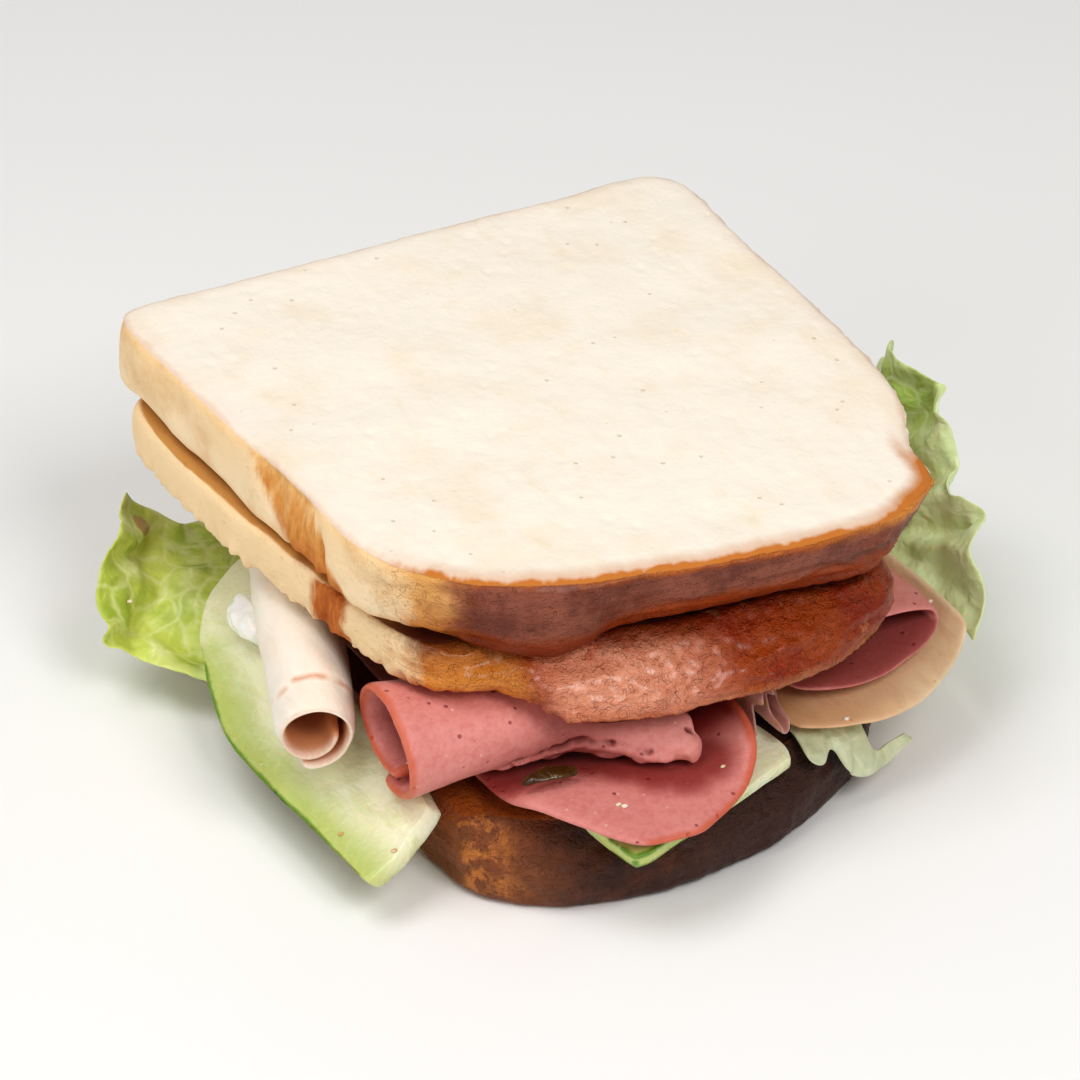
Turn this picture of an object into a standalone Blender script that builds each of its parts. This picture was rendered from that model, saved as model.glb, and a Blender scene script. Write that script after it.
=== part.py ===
"""A layered sandwich: three slices of pan loaf round folded cold cuts, cucumber and lettuce.

Metres, +Z up. The origin is under the middle of the bottom slice, which lies flat on the floor.
+X runs along the front crusts and +Y goes to the back of the sandwich.
"""

import math

import bmesh
import bpy
import numpy as np
from mathutils import Vector

# Driving dimensions of the stack
BOTTOM_THICKNESS = 0.0160
MIDDLE_THICKNESS = 0.0097
TOP_THICKNESS = 0.0148
MIDDLE_HEIGHT = 0.0385
SLICE_GAP = 0.0004
TILT_BACK = math.radians(2.4)
TILT_SIDE = math.radians(1.7)
OUTLINE_STEPS = 84

# Thickness of the sheets
MORTADELLA = 0.0021
TURKEY = 0.0019
HAM = 0.0011
LEAF = 0.0009
CUCUMBER = 0.0038

# How far the crusts slope and bulge
TOP_CRUST_TUCK = 0.0060
TOP_LIP_TUCK = 0.0080
TOP_CRUST_DROOP = 0.0024
DROOP_FORWARD = 0.0006
DROOP_MIDDLE = -0.0255
DROOP_REACH = 0.0150
MIDDLE_DIP = 0.0022
MIDDLE_DIP_REACH = 0.0190
MIDDLE_CRUST_REACH = 0.0125
MIDDLE_CORNER_REACH = 0.0022
MIDDLE_CRUST_LIP = 0.0020
BOTTOM_CRUST_ROUND = 0.0060
CRUST_BULGE = 0.0016
EDGE_ROUNDING = 0.0011
TORN_RELIEF = 0.0009
CRAG_RELIEF = 0.0005
RAGGED_RELIEF = 0.0004
FACE_RELIEF = 0.00025

TOP_OUTLINE = [
    (-0.0470, 0.0665), (-0.0528, 0.0645), (-0.0538, 0.0580), (-0.0524, 0.0300),
    (-0.0505, 0.0000), (-0.0500, -0.0170), (-0.0475, -0.0260), (-0.0420, -0.0335),
    (-0.0340, -0.0400), (-0.0240, -0.0450), (-0.0080, -0.0500), (0.0060, -0.0530),
    (0.0200, -0.0550), (0.0330, -0.0555), (0.0420, -0.0545), (0.0490, -0.0520),
    (0.0535, -0.0485), (0.0545, -0.0440), (0.0555, -0.0370), (0.0595, -0.0300),
    (0.0625, -0.0220), (0.0650, -0.0050), (0.0660, 0.0150), (0.0665, 0.0400),
    (0.0680, 0.0560), (0.0660, 0.0620), (0.0590, 0.0655), (0.0440, 0.0650),
    (0.0200, 0.0660), (-0.0100, 0.0660),
]
MIDDLE_OUTLINE = [
    (-0.0480, 0.0610), (-0.0536, 0.0580), (-0.0552, 0.0500), (-0.0544, 0.0250),
    (-0.0510, 0.0000), (-0.0480, -0.0170), (-0.0455, -0.0260), (-0.0420, -0.0335),
    (-0.0365, -0.0372), (-0.0310, -0.0385), (-0.0288, -0.0430), (-0.0250, -0.0500),
    (-0.0170, -0.0550), (-0.0060, -0.0572), (0.0060, -0.0586), (0.0180, -0.0590),
    (0.0290, -0.0575), (0.0390, -0.0535), (0.0445, -0.0460), (0.0480, -0.0340),
    (0.0530, -0.0100), (0.0560, 0.0200), (0.0570, 0.0500), (0.0500, 0.0600),
    (0.0200, 0.0625), (-0.0150, 0.0625),
]
BOTTOM_OUTLINE = [
    (-0.0360, 0.0600), (-0.0410, 0.0570), (-0.0430, 0.0500), (-0.0430, 0.0200),
    (-0.0425, -0.0150), (-0.0420, -0.0370), (-0.0395, -0.0465), (-0.0290, -0.0555),
    (-0.0140, -0.0608), (0.0020, -0.0615), (0.0170, -0.0590), (0.0310, -0.0535),
    (0.0435, -0.0440), (0.0505, -0.0280), (0.0545, -0.0080), (0.0560, 0.0200),
    (0.0560, 0.0500), (0.0500, 0.0590), (0.0200, 0.0610), (-0.0100, 0.0610),
]

# How high the frills of the leaves stand
LEFT_FRILL = 0.0022
RIGHT_FRILL = 0.0028
PALE_FRILL = 0.0004

# Each leaf is lofted over ribs that run from inside the stack to its frilly rim
LEFT_LEAF_RIBS = [
    [(-0.020, 0.022, 0.0170), (-0.0434, 0.022, 0.0169), (-0.050, 0.023, 0.0110), (-0.055, 0.026, 0.0075)],
    [(-0.020, 0.035, 0.0170), (-0.0440, 0.035, 0.0170), (-0.053, 0.037, 0.0095), (-0.064, 0.036, 0.0115)],
    [(-0.020, 0.048, 0.0170), (-0.0445, 0.049, 0.0173), (-0.058, 0.048, 0.0160), (-0.070, 0.042, 0.0195)],
    [(-0.020, 0.061, 0.0175), (-0.040, 0.062, 0.0190), (-0.049, 0.062, 0.0260), (-0.054, 0.059, 0.0330)],
]
RIGHT_LEAF_RIBS = [
    [(0.020, -0.013, 0.0172), (0.045, -0.014, 0.0172), (0.0620, -0.022, 0.0190), (0.0665, -0.036, 0.0190),
     (0.0635, -0.0475, 0.0180)],
    [(0.020, 0.002, 0.0172), (0.045, 0.000, 0.0172), (0.0635, -0.010, 0.0210), (0.071, -0.025, 0.0270),
     (0.0735, -0.035, 0.0365)],
    [(0.020, 0.012, 0.0172), (0.045, 0.010, 0.0172), (0.0635, 0.000, 0.0210), (0.0730, -0.015, 0.0290),
     (0.0765, -0.0205, 0.0370)],
    [(0.020, 0.022, 0.0172), (0.045, 0.020, 0.0172), (0.0635, 0.010, 0.0210), (0.075, -0.007, 0.0320),
     (0.0790, -0.015, 0.0485)],
    [(0.020, 0.036, 0.0172), (0.045, 0.034, 0.0172), (0.0635, 0.024, 0.0210), (0.075, 0.014, 0.0330),
     (0.0790, 0.006, 0.0520)],
]
PALE_LEAF_RIBS = [
    [(0.0215, -0.0270, 0.0171), (0.0215, -0.0460, 0.0171), (0.0212, -0.0550, 0.0166), (0.0205, -0.0580, 0.0155)],
    [(0.0240, -0.0260, 0.0171), (0.0240, -0.0450, 0.0171), (0.0238, -0.0553, 0.0163), (0.0232, -0.0590, 0.0138)],
    [(0.0280, -0.0250, 0.0171), (0.0280, -0.0440, 0.0171), (0.0278, -0.0525, 0.0160), (0.0277, -0.0550, 0.0135)],
    [(0.0315, -0.0250, 0.0171), (0.0315, -0.0440, 0.0171), (0.0305, -0.0535, 0.0150), (0.0290, -0.0578, 0.0098)],
    [(0.0350, -0.0440, 0.0172), (0.0350, -0.0490, 0.0170), (0.0345, -0.0545, 0.0125), (0.0325, -0.0580, 0.0070)],
    [(0.0370, -0.0545, 0.0098), (0.0372, -0.0552, 0.0088), (0.0375, -0.0560, 0.0075), (0.0378, -0.0568, 0.0060)],
    [(0.0408, -0.0540, 0.0090), (0.0412, -0.0545, 0.0084), (0.0418, -0.0551, 0.0078), (0.0424, -0.0556, 0.0070)],
    [(0.0450, -0.0536, 0.0093), (0.0452, -0.0538, 0.0089), (0.0456, -0.0541, 0.0085), (0.0460, -0.0544, 0.0079)],
]


def clear_scene():
    for item in list(bpy.data.objects):
        bpy.data.objects.remove(item, do_unlink=True)


def finish(name, colour, roughness):
    """A plain food surface of one colour."""
    material = bpy.data.materials.new(name)
    material.use_nodes = True
    shader = material.node_tree.nodes["Principled BSDF"]
    shader.inputs["Base Color"].default_value = (*colour, 1.0)
    shader.inputs["Roughness"].default_value = roughness
    shader.inputs["Metallic"].default_value = 0.0
    return material


def add_object(name, mesh, material, parent, place=(0.0, 0.0, 0.0), turn=(0.0, 0.0, 0.0)):
    mesh.materials.append(material)
    piece = bpy.data.objects.new(name, mesh)
    bpy.context.scene.collection.objects.link(piece)
    piece.parent = parent
    piece.location = place
    piece.rotation_euler = turn
    return piece


def ease(value, low, high):
    """Goes smoothly from 0 at low to 1 at high."""
    share = min(max((value - low) / (high - low), 0.0), 1.0)
    return share * share * (3.0 - 2.0 * share)


def hump(value, middle, reach):
    """A smooth bump of height 1 at middle that ends at reach either side."""
    return 1.0 - ease(abs(value - middle), 0.0, reach)


def smooth_path(points, count, closed=False):
    """Points spread evenly along a smooth curve through the given ones."""
    given = np.array(points, dtype=float)
    last = len(given) if closed else len(given) - 1
    dense = []
    for i in range(last):
        before, start, end, after = (
            given[(i + k) % len(given)] if closed else given[min(max(i + k, 0), len(given) - 1)]
            for k in (-1, 0, 1, 2)
        )
        for t in np.linspace(0.0, 1.0, 12, endpoint=False):
            dense.append(0.5 * (
                2.0 * start + (end - before) * t
                + (2.0 * before - 5.0 * start + 4.0 * end - after) * t ** 2
                + (3.0 * start - before - 3.0 * end + after) * t ** 3
            ))
    dense.append(given[0] if closed else given[-1])
    dense = np.array(dense)
    steps = np.linalg.norm(np.diff(dense, axis=0), axis=1)
    length = np.concatenate([[0.0], np.cumsum(steps)])
    stations = np.linspace(0.0, length[-1], count, endpoint=not closed)
    return np.stack([np.interp(stations, length, dense[:, k]) for k in range(dense.shape[1])], axis=1)


def mesh_from_rings(name, rings, sharp_angle):
    """Skins a stack of equal rings, whose first and last are closed by a middle point."""
    shape = bmesh.new()
    loops = [[shape.verts.new(point) for point in ring] for ring in rings]
    count = len(loops[0])
    for upper, lower in zip(loops, loops[1:]):
        for i in range(count):
            k = (i + 1) % count
            shape.faces.new((upper[i], upper[k], lower[k], lower[i]))
    for loop in (loops[0], loops[-1]):
        middle = shape.verts.new(sum((vert.co for vert in loop), Vector()) / count)
        for i in range(count):
            shape.faces.new((middle, loop[i], loop[(i + 1) % count]))
    bmesh.ops.recalc_face_normals(shape, faces=shape.faces[:])
    mesh = bpy.data.meshes.new(name)
    shape.to_mesh(mesh)
    shape.free()
    mesh.shade_smooth()
    mesh.set_sharp_from_angle(angle=math.radians(sharp_angle))
    return mesh


def outward_normals(outline):
    tangent = np.roll(outline, -1, axis=0) - np.roll(outline, 1, axis=0)
    normal = np.stack([tangent[:, 1], -tangent[:, 0]], axis=1)
    normal /= np.linalg.norm(normal, axis=1, keepdims=True)
    area = np.sum(outline[:, 0] * np.roll(outline[:, 1], -1) - np.roll(outline[:, 0], -1) * outline[:, 1])
    return normal if area > 0.0 else -normal


def bread_slice(name, points, thickness, side, face_rings, base_rings, face_relief=0.0):
    """A slice cut from a pan loaf: flat crumb faces and a side whose shape side() gives.

    side(point, front, share) gives how far a side point at this share of the way down goes out
    along the outline's normal, goes to the back, and drops.
    """
    outline = smooth_path(points, OUTLINE_STEPS, closed=True)
    normals = outward_normals(outline)
    centre = outline.mean(axis=0)
    rings = []
    bands = (0.0, 0.10, 0.30, 0.52, 0.74, 0.92, 1.0)
    for share in bands:
        ring = []
        for point, normal in zip(outline, normals):
            front = ease(-normal[1], 0.15, 0.75)
            out, back, drop = side(point, front, share)
            x = point[0] + normal[0] * out
            y = point[1] + normal[1] * out + back
            ring.append((x, y, thickness * (1.0 - share) - drop))
        rings.append(ring)

    def inner(ring, scale, height, relief):
        points_in = []
        for x, y, _ in ring:
            px = centre[0] + (x - centre[0]) * scale
            py = centre[1] + (y - centre[1]) * scale
            swell = relief * (math.sin(130.0 * px + 1.0) * math.cos(110.0 * py) + math.sin(210.0 * py))
            points_in.append((px, py, height + swell))
        return points_in

    face = [inner(rings[0], scale, thickness, face_relief) for scale in face_rings]
    base = [inner(rings[-1], scale, 0.0, 0.0) for scale in base_rings]
    return mesh_from_rings(name, face + rings + base, 50.0)


def rounded(share):
    """How far a cut edge is rounded in, at this share of the way down a side."""
    return -EDGE_ROUNDING * abs(2.0 * share - 1.0) ** 5


def torn(point, share):
    """The torn strip of crust on the left side, near the front."""
    patch = hump(point[1], -0.006, 0.024) * ease(-point[0], 0.035, 0.046)
    return patch * TORN_RELIEF * math.sin(620.0 * point[1] + 5.0 * share)


def top_side(point, front, share):
    droop = hump(point[0], DROOP_MIDDLE, DROOP_REACH) * front
    deep = 0.3 + 0.7 * ease(point[0], -0.028, -0.006)
    tuck = TOP_CRUST_TUCK * deep * (1.0 - 0.55 * ease(point[0], 0.020, 0.050)) * front * (1.0 - droop)
    crag = CRAG_RELIEF * front * math.sin(330.0 * point[0] + 4.0 * share) * math.sin(math.pi * share)
    out = rounded(share) + torn(point, share) + CRUST_BULGE * 0.6 * front * math.sin(math.pi * share) + crag
    lip = ease(point[0], 0.036, 0.050) * ease(-point[1], 0.020, 0.038)
    back = tuck * share ** 1.4 - DROOP_FORWARD * droop * share
    return out - TOP_LIP_TUCK * lip * share ** 0.8, back, TOP_CRUST_DROOP * droop * ease(share, 0.2, 1.0)


def middle_side(point, front, share):
    lobe = ease(point[0], -0.031, -0.024) * (1.0 - 0.45 * ease(point[0], 0.024, 0.044))
    reach = (MIDDLE_CORNER_REACH + MIDDLE_CRUST_REACH * lobe) * front
    wrinkle = CRAG_RELIEF * front * math.sin(260.0 * point[0] + 6.0 * share) * math.sin(math.pi * share)
    out = rounded(share) + torn(point, share) + CRUST_BULGE * 1.5 * front * math.sin(math.pi * share) + wrinkle
    ragged = RAGGED_RELIEF * (1.0 - front) * math.sin(900.0 * point[1]) * ease(share, 0.6, 1.0)
    drop = MIDDLE_CRUST_LIP * front * ease(point[0], -0.031, -0.024) * ease(share, 0.4, 1.0)
    dip = MIDDLE_DIP * front * hump(point[0], DROOP_MIDDLE, MIDDLE_DIP_REACH) * (1.0 - ease(share, 0.1, 0.6))
    return out + ragged, reach * (1.0 - share) ** 1.3, drop + dip


def bottom_side(point, front, share):
    back = BOTTOM_CRUST_ROUND * front * (1.0 - ease(share, 0.0, 0.62)) ** 1.4
    crag = CRAG_RELIEF * front * math.sin(290.0 * point[0] + 5.0 * share) * math.sin(math.pi * share)
    out = rounded(share) + CRUST_BULGE * 0.5 * front * math.sin(math.pi * share) + crag
    return out, back, 0.0


def add_bread(parent):
    crumb = finish("crumb", (0.93, 0.84, 0.70), 0.85)
    crust = finish("crust", (0.42, 0.13, 0.03), 0.45)
    dark_crust = finish("dark crust", (0.09, 0.035, 0.02), 0.5)
    tilt = (TILT_BACK, TILT_SIDE, 0.0)

    mesh = bread_slice("bread_bottom", BOTTOM_OUTLINE, BOTTOM_THICKNESS, bottom_side, (0.94,), (0.94,))
    add_object("bread_bottom", mesh, dark_crust, parent)

    mesh = bread_slice("bread_middle", MIDDLE_OUTLINE, MIDDLE_THICKNESS, middle_side, (0.90,), (0.92,))
    add_object("bread_middle", mesh, crust, parent, (0.0, 0.0, MIDDLE_HEIGHT), tilt)

    mesh = bread_slice(
        "bread_top", TOP_OUTLINE, TOP_THICKNESS, top_side, (0.40, 0.75, 0.94), (0.94,), FACE_RELIEF
    )
    top_height = MIDDLE_HEIGHT + MIDDLE_THICKNESS + SLICE_GAP
    add_object("bread_top", mesh, crumb, parent, (0.0, 0.0, top_height), tilt)


def sheet_mesh(name, grid):
    """A grid of points as one open sheet of four-sided faces."""
    rows, columns = grid.shape[:2]
    shape = bmesh.new()
    verts = [[shape.verts.new(point) for point in row] for row in grid]
    for i in range(rows - 1):
        for k in range(columns - 1):
            shape.faces.new((verts[i][k], verts[i + 1][k], verts[i + 1][k + 1], verts[i][k + 1]))
    mesh = bpy.data.meshes.new(name)
    shape.to_mesh(mesh)
    shape.free()
    mesh.shade_smooth()
    return mesh


def add_sheet(name, grid, thickness, material, parent, place=(0.0, 0.0, 0.0), turn=(0.0, 0.0, 0.0)):
    """A thin solid whose two faces are split into triangles alike."""
    piece = add_object(name, sheet_mesh(name, grid), material, parent, place, turn)
    piece.modifiers.new("Split", "TRIANGULATE")
    solidify = piece.modifiers.new("Thickness", "SOLIDIFY")
    solidify.thickness = thickness
    solidify.offset = 0.0
    return piece


def leaf_grid(ribs, along, across, frill, waves, calm=0.0):
    """Lofts a leaf over its ribs, with frills that grow towards the rim.

    calm is the share of the leaf, from its first rib, that stays without frills.
    """
    lines = np.array([smooth_path(rib, along) for rib in ribs])
    grid = smooth_path(lines.reshape(len(ribs), -1), across).reshape(across, along, 3).transpose(1, 0, 2)
    slope_u = np.gradient(grid, axis=0)
    slope_v = np.gradient(grid, axis=1)
    normal = np.cross(slope_u, slope_v)
    normal /= np.linalg.norm(normal, axis=2, keepdims=True)
    for i in range(along):
        rim = ease(i / (along - 1), 0.52, 1.0)
        for k in range(across):
            share = k / (across - 1)
            ruffle = math.sin(2.0 * math.pi * waves * share + 2.2 * rim)
            ruffle += 0.45 * math.sin(2.0 * math.pi * waves * 1.9 * share + 1.3)
            grid[i, k] += normal[i, k] * frill * rim * ease(share, calm, calm + 0.25) * ruffle
    return grid


def add_lettuce(parent):
    green = finish("lettuce", (0.45, 0.60, 0.08), 0.5)
    dark_green = finish("lettuce right", (0.22, 0.38, 0.06), 0.5)
    pale = finish("lettuce pale", (0.48, 0.55, 0.30), 0.5)
    grid = leaf_grid(LEFT_LEAF_RIBS, 16, 20, LEFT_FRILL, 4.0, calm=0.32)
    add_sheet("lettuce_left", grid, LEAF, green, parent)
    grid = leaf_grid(RIGHT_LEAF_RIBS, 16, 22, RIGHT_FRILL, 4.5)
    add_sheet("lettuce_right", grid, LEAF, dark_green, parent)
    grid = leaf_grid(PALE_LEAF_RIBS, 9, 26, PALE_FRILL, 3.0)
    add_sheet("lettuce_pale", grid, LEAF, pale, parent)


def plank_mesh(name, outline, thickness, slope):
    """A slab cut from a cucumber, its long skin edge slanted."""
    edge = smooth_path(outline, 30, closed=True)
    centre = edge.mean(axis=0)
    rings = []
    for height, inset in ((1.0, 0.10), (1.0, 0.985), (0.72, 1.0), (0.28, 1.0), (0.0, 0.985), (0.0, 0.10)):
        ring = []
        for x, y in edge:
            px = centre[0] + (x - centre[0]) * inset + slope * (0.5 - height) * thickness
            py = centre[1] + (y - centre[1]) * inset
            ring.append((px, py, thickness * (height - 0.5)))
        rings.append(ring)
    return mesh_from_rings(name, rings, 40.0)


LEFT_PLANK = [
    (-0.0115, -0.0425), (-0.0105, -0.0438), (-0.0090, -0.0435), (0.0030, -0.0400), (0.0050, -0.0388),
    (0.0058, -0.0360), (0.0075, -0.0200), (0.0125, 0.0350), (0.0115, 0.0385), (0.0080, 0.0400),
    (0.0020, 0.0370), (-0.0045, 0.0300), (-0.0090, 0.0190), (-0.0125, 0.0090), (-0.0135, 0.0000),
    (-0.0125, -0.0250),
]
LEFT_PLANK_PLACE = (-0.0495, 0.0, 0.01595)
LEFT_PLANK_TURN = (math.radians(2.6), math.radians(-27.0), 0.0)
FRONT_PLANK = [
    (-0.0210, -0.0075), (-0.0204, -0.0085), (-0.0190, -0.0084), (0.0000, -0.0080), (0.0190, -0.0076),
    (0.0207, -0.0070), (0.0212, -0.0050), (0.0212, 0.0000), (0.0205, 0.0060), (0.0180, 0.0080),
    (0.0000, 0.0084), (-0.0180, 0.0080), (-0.0208, 0.0060), (-0.0214, 0.0000),
]
FRONT_PLANK_THICKNESS = 0.0030
FRONT_PLANK_PLACE = (-0.0040, -0.0562, 0.0181)
FRONT_PLANK_TURN = (math.radians(9.0), 0.0, math.radians(15.0))


def add_cucumber(parent):
    flesh = finish("cucumber", (0.72, 0.77, 0.42), 0.35)
    mesh = plank_mesh("cucumber_left", LEFT_PLANK, CUCUMBER, 0.35)
    add_object("cucumber_left", mesh, flesh, parent, LEFT_PLANK_PLACE, LEFT_PLANK_TURN)
    mesh = plank_mesh("cucumber_front", FRONT_PLANK, FRONT_PLANK_THICKNESS, 0.2)
    add_object("cucumber_front", mesh, flesh, parent, FRONT_PLANK_PLACE, FRONT_PLANK_TURN)


def roll_grid(length, around, along, turns, radius, start_angle, flap):
    """A slice rolled round the local X axis, from its open mouth at X = 0.

    radius(x) gives the half width, the half height and the drop of the roll at x,
    start_angle(x) says where round the roll its outer edge lies, and flap(x, angle)
    moves a point outward from the roll and up.
    """
    grid = np.zeros((along, around, 3))
    for i in range(along):
        x = length * i / (along - 1)
        half_width, half_height, drop = radius(x)
        begin = start_angle(x)
        for k in range(around):
            angle = begin + (turns * 2.0 * math.pi - begin) * k / (around - 1)
            shrink = 1.0 - 0.36 * max(angle, 0.0) / (2.0 * math.pi) * ease(angle, 1.1 * math.pi, 2.1 * math.pi)
            y = -half_width * math.sin(angle) * shrink
            z = -half_height * math.cos(angle) * shrink
            out, lift = flap(x, angle)
            grid[i, k] = (x, y - out, z - drop + lift)
    return grid


ROLL_LENGTH = 0.052
ROLL_HALF_WIDTH = 0.0110
ROLL_HALF_HEIGHT = 0.0073
MOUTH_FLARE_WIDE = 0.0014
MOUTH_FLARE_HIGH = 0.0016
MOUTH_FLARE_LENGTH = 0.0035
FLAP_REACH = 0.0150
FLAP_LIFT = 0.0010
ROLL_PLACE = (-0.0500, -0.0300, 0.0287)
ROLL_TURN = (0.0, 0.0, math.radians(-7.0))


def add_mortadella_roll(parent, meat):
    def radius(x):
        flare = math.exp(-x / MOUTH_FLARE_LENGTH)
        narrowing = ease(x, 0.012, 0.045)
        half_width = ROLL_HALF_WIDTH + MOUTH_FLARE_WIDE * flare - 0.0010 * narrowing
        half_height = ROLL_HALF_HEIGHT + MOUTH_FLARE_HIGH * flare - 0.0012 * narrowing
        return half_width, half_height, 0.0003 * narrowing

    def start_angle(x):
        return math.radians(-8.0 + 50.0 * ease(x, 0.016, 0.030))

    def flap(x, angle):
        low_front = 1.0 - ease(angle, math.radians(40.0), math.radians(150.0))
        reach = hump(x, 0.048, 0.019) * low_front
        return FLAP_REACH * reach, FLAP_LIFT * reach

    grid = roll_grid(ROLL_LENGTH, 24, 13, 1.12, radius, start_angle, flap)
    add_sheet("mortadella_roll", grid, MORTADELLA, meat, parent, ROLL_PLACE, ROLL_TURN)


TURKEY_LENGTH = 0.0635
TURKEY_HALF_WIDTH = 0.0065
TURKEY_HALF_HEIGHT = 0.0068
TURKEY_PLACE = (-0.0586, -0.0217, 0.0271)
TURKEY_TURN = (0.0, math.radians(-5.2), math.radians(67.0))


def add_turkey_roll(parent, meat):
    def radius(x):
        return TURKEY_HALF_WIDTH + 0.0010 * ease(x, 0.0, 0.03), TURKEY_HALF_HEIGHT, 0.0

    def start_angle(x):
        return math.radians(-25.0 - 25.0 * ease(x, 0.0, 0.03))

    def flap(x, angle):
        return 0.0, 0.0

    grid = roll_grid(TURKEY_LENGTH, 24, 9, 1.25, radius, start_angle, flap)
    add_sheet("turkey_roll", grid, TURKEY, meat, parent, TURKEY_PLACE, TURKEY_TURN)


def folded_grid(section, fronts, back, along, around, lift=None, wave=0.0):
    """A folded slice: a section in X and Z drawn from a round front edge to the back.

    fronts gives the front edge's Y at even steps along the section, lift(x, y, z) is how far what
    lies below raises the slice there, and wave is the height of the gentle waves across it.
    """
    line = smooth_path(section, around)
    front_line = np.interp(
        np.linspace(0.0, 1.0, around), np.linspace(0.0, 1.0, len(fronts)), np.array(fronts)
    )
    front_line = smooth_path(np.stack([np.linspace(0.0, 1.0, around), front_line], axis=1), around)[:, 1]
    grid = np.zeros((along, around, 3))
    for k in range(around):
        for i in range(along):
            share = i / (along - 1)
            y = front_line[k] + (back - front_line[k]) * share ** 1.25
            ripple = wave * math.sin(170.0 * y + 6.0 * k / around)
            raised = lift(line[k, 0], y, line[k, 1]) if lift else 0.0
            grid[i, k] = (line[k, 0], y, line[k, 1] + raised + ripple)
    return grid


SCOOP_SECTION = [
    (-0.0350, 0.0192), (-0.0260, 0.0190), (-0.0140, 0.0186), (-0.0020, 0.0187), (0.0050, 0.0200),
    (0.0085, 0.0240), (0.0092, 0.0280), (0.0082, 0.0318), (0.0030, 0.0340), (-0.0100, 0.0348),
    (-0.0240, 0.0356),
]
SCOOP_FRONTS = (-0.0540, -0.0700, -0.0715, -0.0665, -0.0570, -0.0200, -0.0155, -0.0145)
FOLD_SECTION = [
    (0.0300, 0.0308), (0.0450, 0.0304), (0.0540, 0.0294), (0.0573, 0.0272), (0.0545, 0.0246),
    (0.0460, 0.0232), (0.0360, 0.0228), (0.0230, 0.0246),
]
FOLD_FRONTS = (-0.0440, -0.0455, -0.0460, -0.0465, -0.0500, -0.0525, -0.0525, -0.0490)
SLEEVE_SECTION = [
    (0.0200, 0.0202), (0.0300, 0.0194), (0.0430, 0.0193), (0.0530, 0.0203), (0.0590, 0.0228),
    (0.0612, 0.0264),
]
SLEEVE_FRONTS = (-0.0540, -0.0575, -0.0595, -0.0580, -0.0540, -0.0490)
HAM_SECTION = [
    (0.0112, 0.0215), (0.0114, 0.0270), (0.0126, 0.0318), (0.0145, 0.0322), (0.0152, 0.0270),
    (0.0156, 0.0225), (0.0176, 0.0222), (0.0186, 0.0260), (0.0192, 0.0305),
]
HAM_FRONTS = (-0.0600, -0.0590, -0.0560, -0.0540, -0.0560, -0.0580, -0.0570, -0.0540, -0.0520)


def over_front_plank(x, y, z):
    """The scoop's floor climbs over the slab of cucumber below its front."""
    inward = y - FRONT_PLANK_PLACE[1] - math.tan(FRONT_PLANK_TURN[2]) * (x - FRONT_PLANK_PLACE[0])
    slab = (0.0036 + math.tan(FRONT_PLANK_TURN[0]) * inward) * (1.0 - ease(inward, 0.0118, 0.0192))
    return slab * (1.0 - ease(z, 0.0205, 0.0270))


def add_cold_cuts(parent):
    mortadella = finish("mortadella", (0.72, 0.22, 0.18), 0.4)
    turkey = finish("turkey", (0.86, 0.72, 0.58), 0.5)
    ham = finish("ham", (0.62, 0.38, 0.34), 0.35)
    add_mortadella_roll(parent, mortadella)
    add_turkey_roll(parent, turkey)
    grid = folded_grid(SCOOP_SECTION, SCOOP_FRONTS, 0.044, 10, 26, lift=over_front_plank)
    add_sheet("mortadella_scoop", grid, MORTADELLA * 0.85, mortadella, parent)
    grid = folded_grid(FOLD_SECTION, FOLD_FRONTS, 0.048, 8, 18, wave=0.0003)
    add_sheet("mortadella_fold", grid, MORTADELLA * 0.9, mortadella, parent)
    grid = folded_grid(SLEEVE_SECTION, SLEEVE_FRONTS, 0.050, 8, 15, wave=0.0002)
    add_sheet("turkey_sleeve", grid, TURKEY * 0.85, turkey, parent)
    grid = folded_grid(HAM_SECTION, HAM_FRONTS, 0.040, 7, 24)
    add_sheet("ham_fold", grid, HAM, ham, parent)


PICKLE_LENGTH = 0.0105
PICKLE_WIDTH = 0.0036
PICKLE_THICKNESS = 0.0012
PICKLE_BEND = 0.0012
PICKLE_PLACE = (-0.0285, -0.0506, 0.0259)
PICKLE_TURN = (math.radians(10.0), 0.0, math.radians(-12.0))
PICKLE_STEPS = 7
PICKLE_ROWS = 4


def add_pickle(parent):
    olive = finish("pickle", (0.30, 0.18, 0.03), 0.35)
    grid = np.zeros((PICKLE_STEPS, PICKLE_ROWS, 3))
    for i in range(PICKLE_STEPS):
        share = i / (PICKLE_STEPS - 1)
        swell = math.sin(math.pi * share)
        for k in range(PICKLE_ROWS):
            width = (k / (PICKLE_ROWS - 1) - 0.5) * PICKLE_WIDTH * (0.55 + 0.45 * swell)
            grid[i, k] = (PICKLE_LENGTH * (share - 0.5), width, PICKLE_BEND * swell)
    add_sheet("pickle_strip", grid, PICKLE_THICKNESS, olive, parent, PICKLE_PLACE, PICKLE_TURN)


def main():
    clear_scene()
    sandwich = bpy.data.objects.new("sandwich", None)
    bpy.context.scene.collection.objects.link(sandwich)
    add_bread(sandwich)
    add_lettuce(sandwich)
    add_cucumber(sandwich)
    add_cold_cuts(sandwich)
    add_pickle(sandwich)


main()
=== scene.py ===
"""Dresses a layered sandwich of bread, cold cuts, cucumber and lettuce for its studio picture.

Metres, +Z up. A piece is made from the solid that it stands for, so its place comes from the frame.
"""

import math

import bpy
import numpy as np
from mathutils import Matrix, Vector, kdtree


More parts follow.
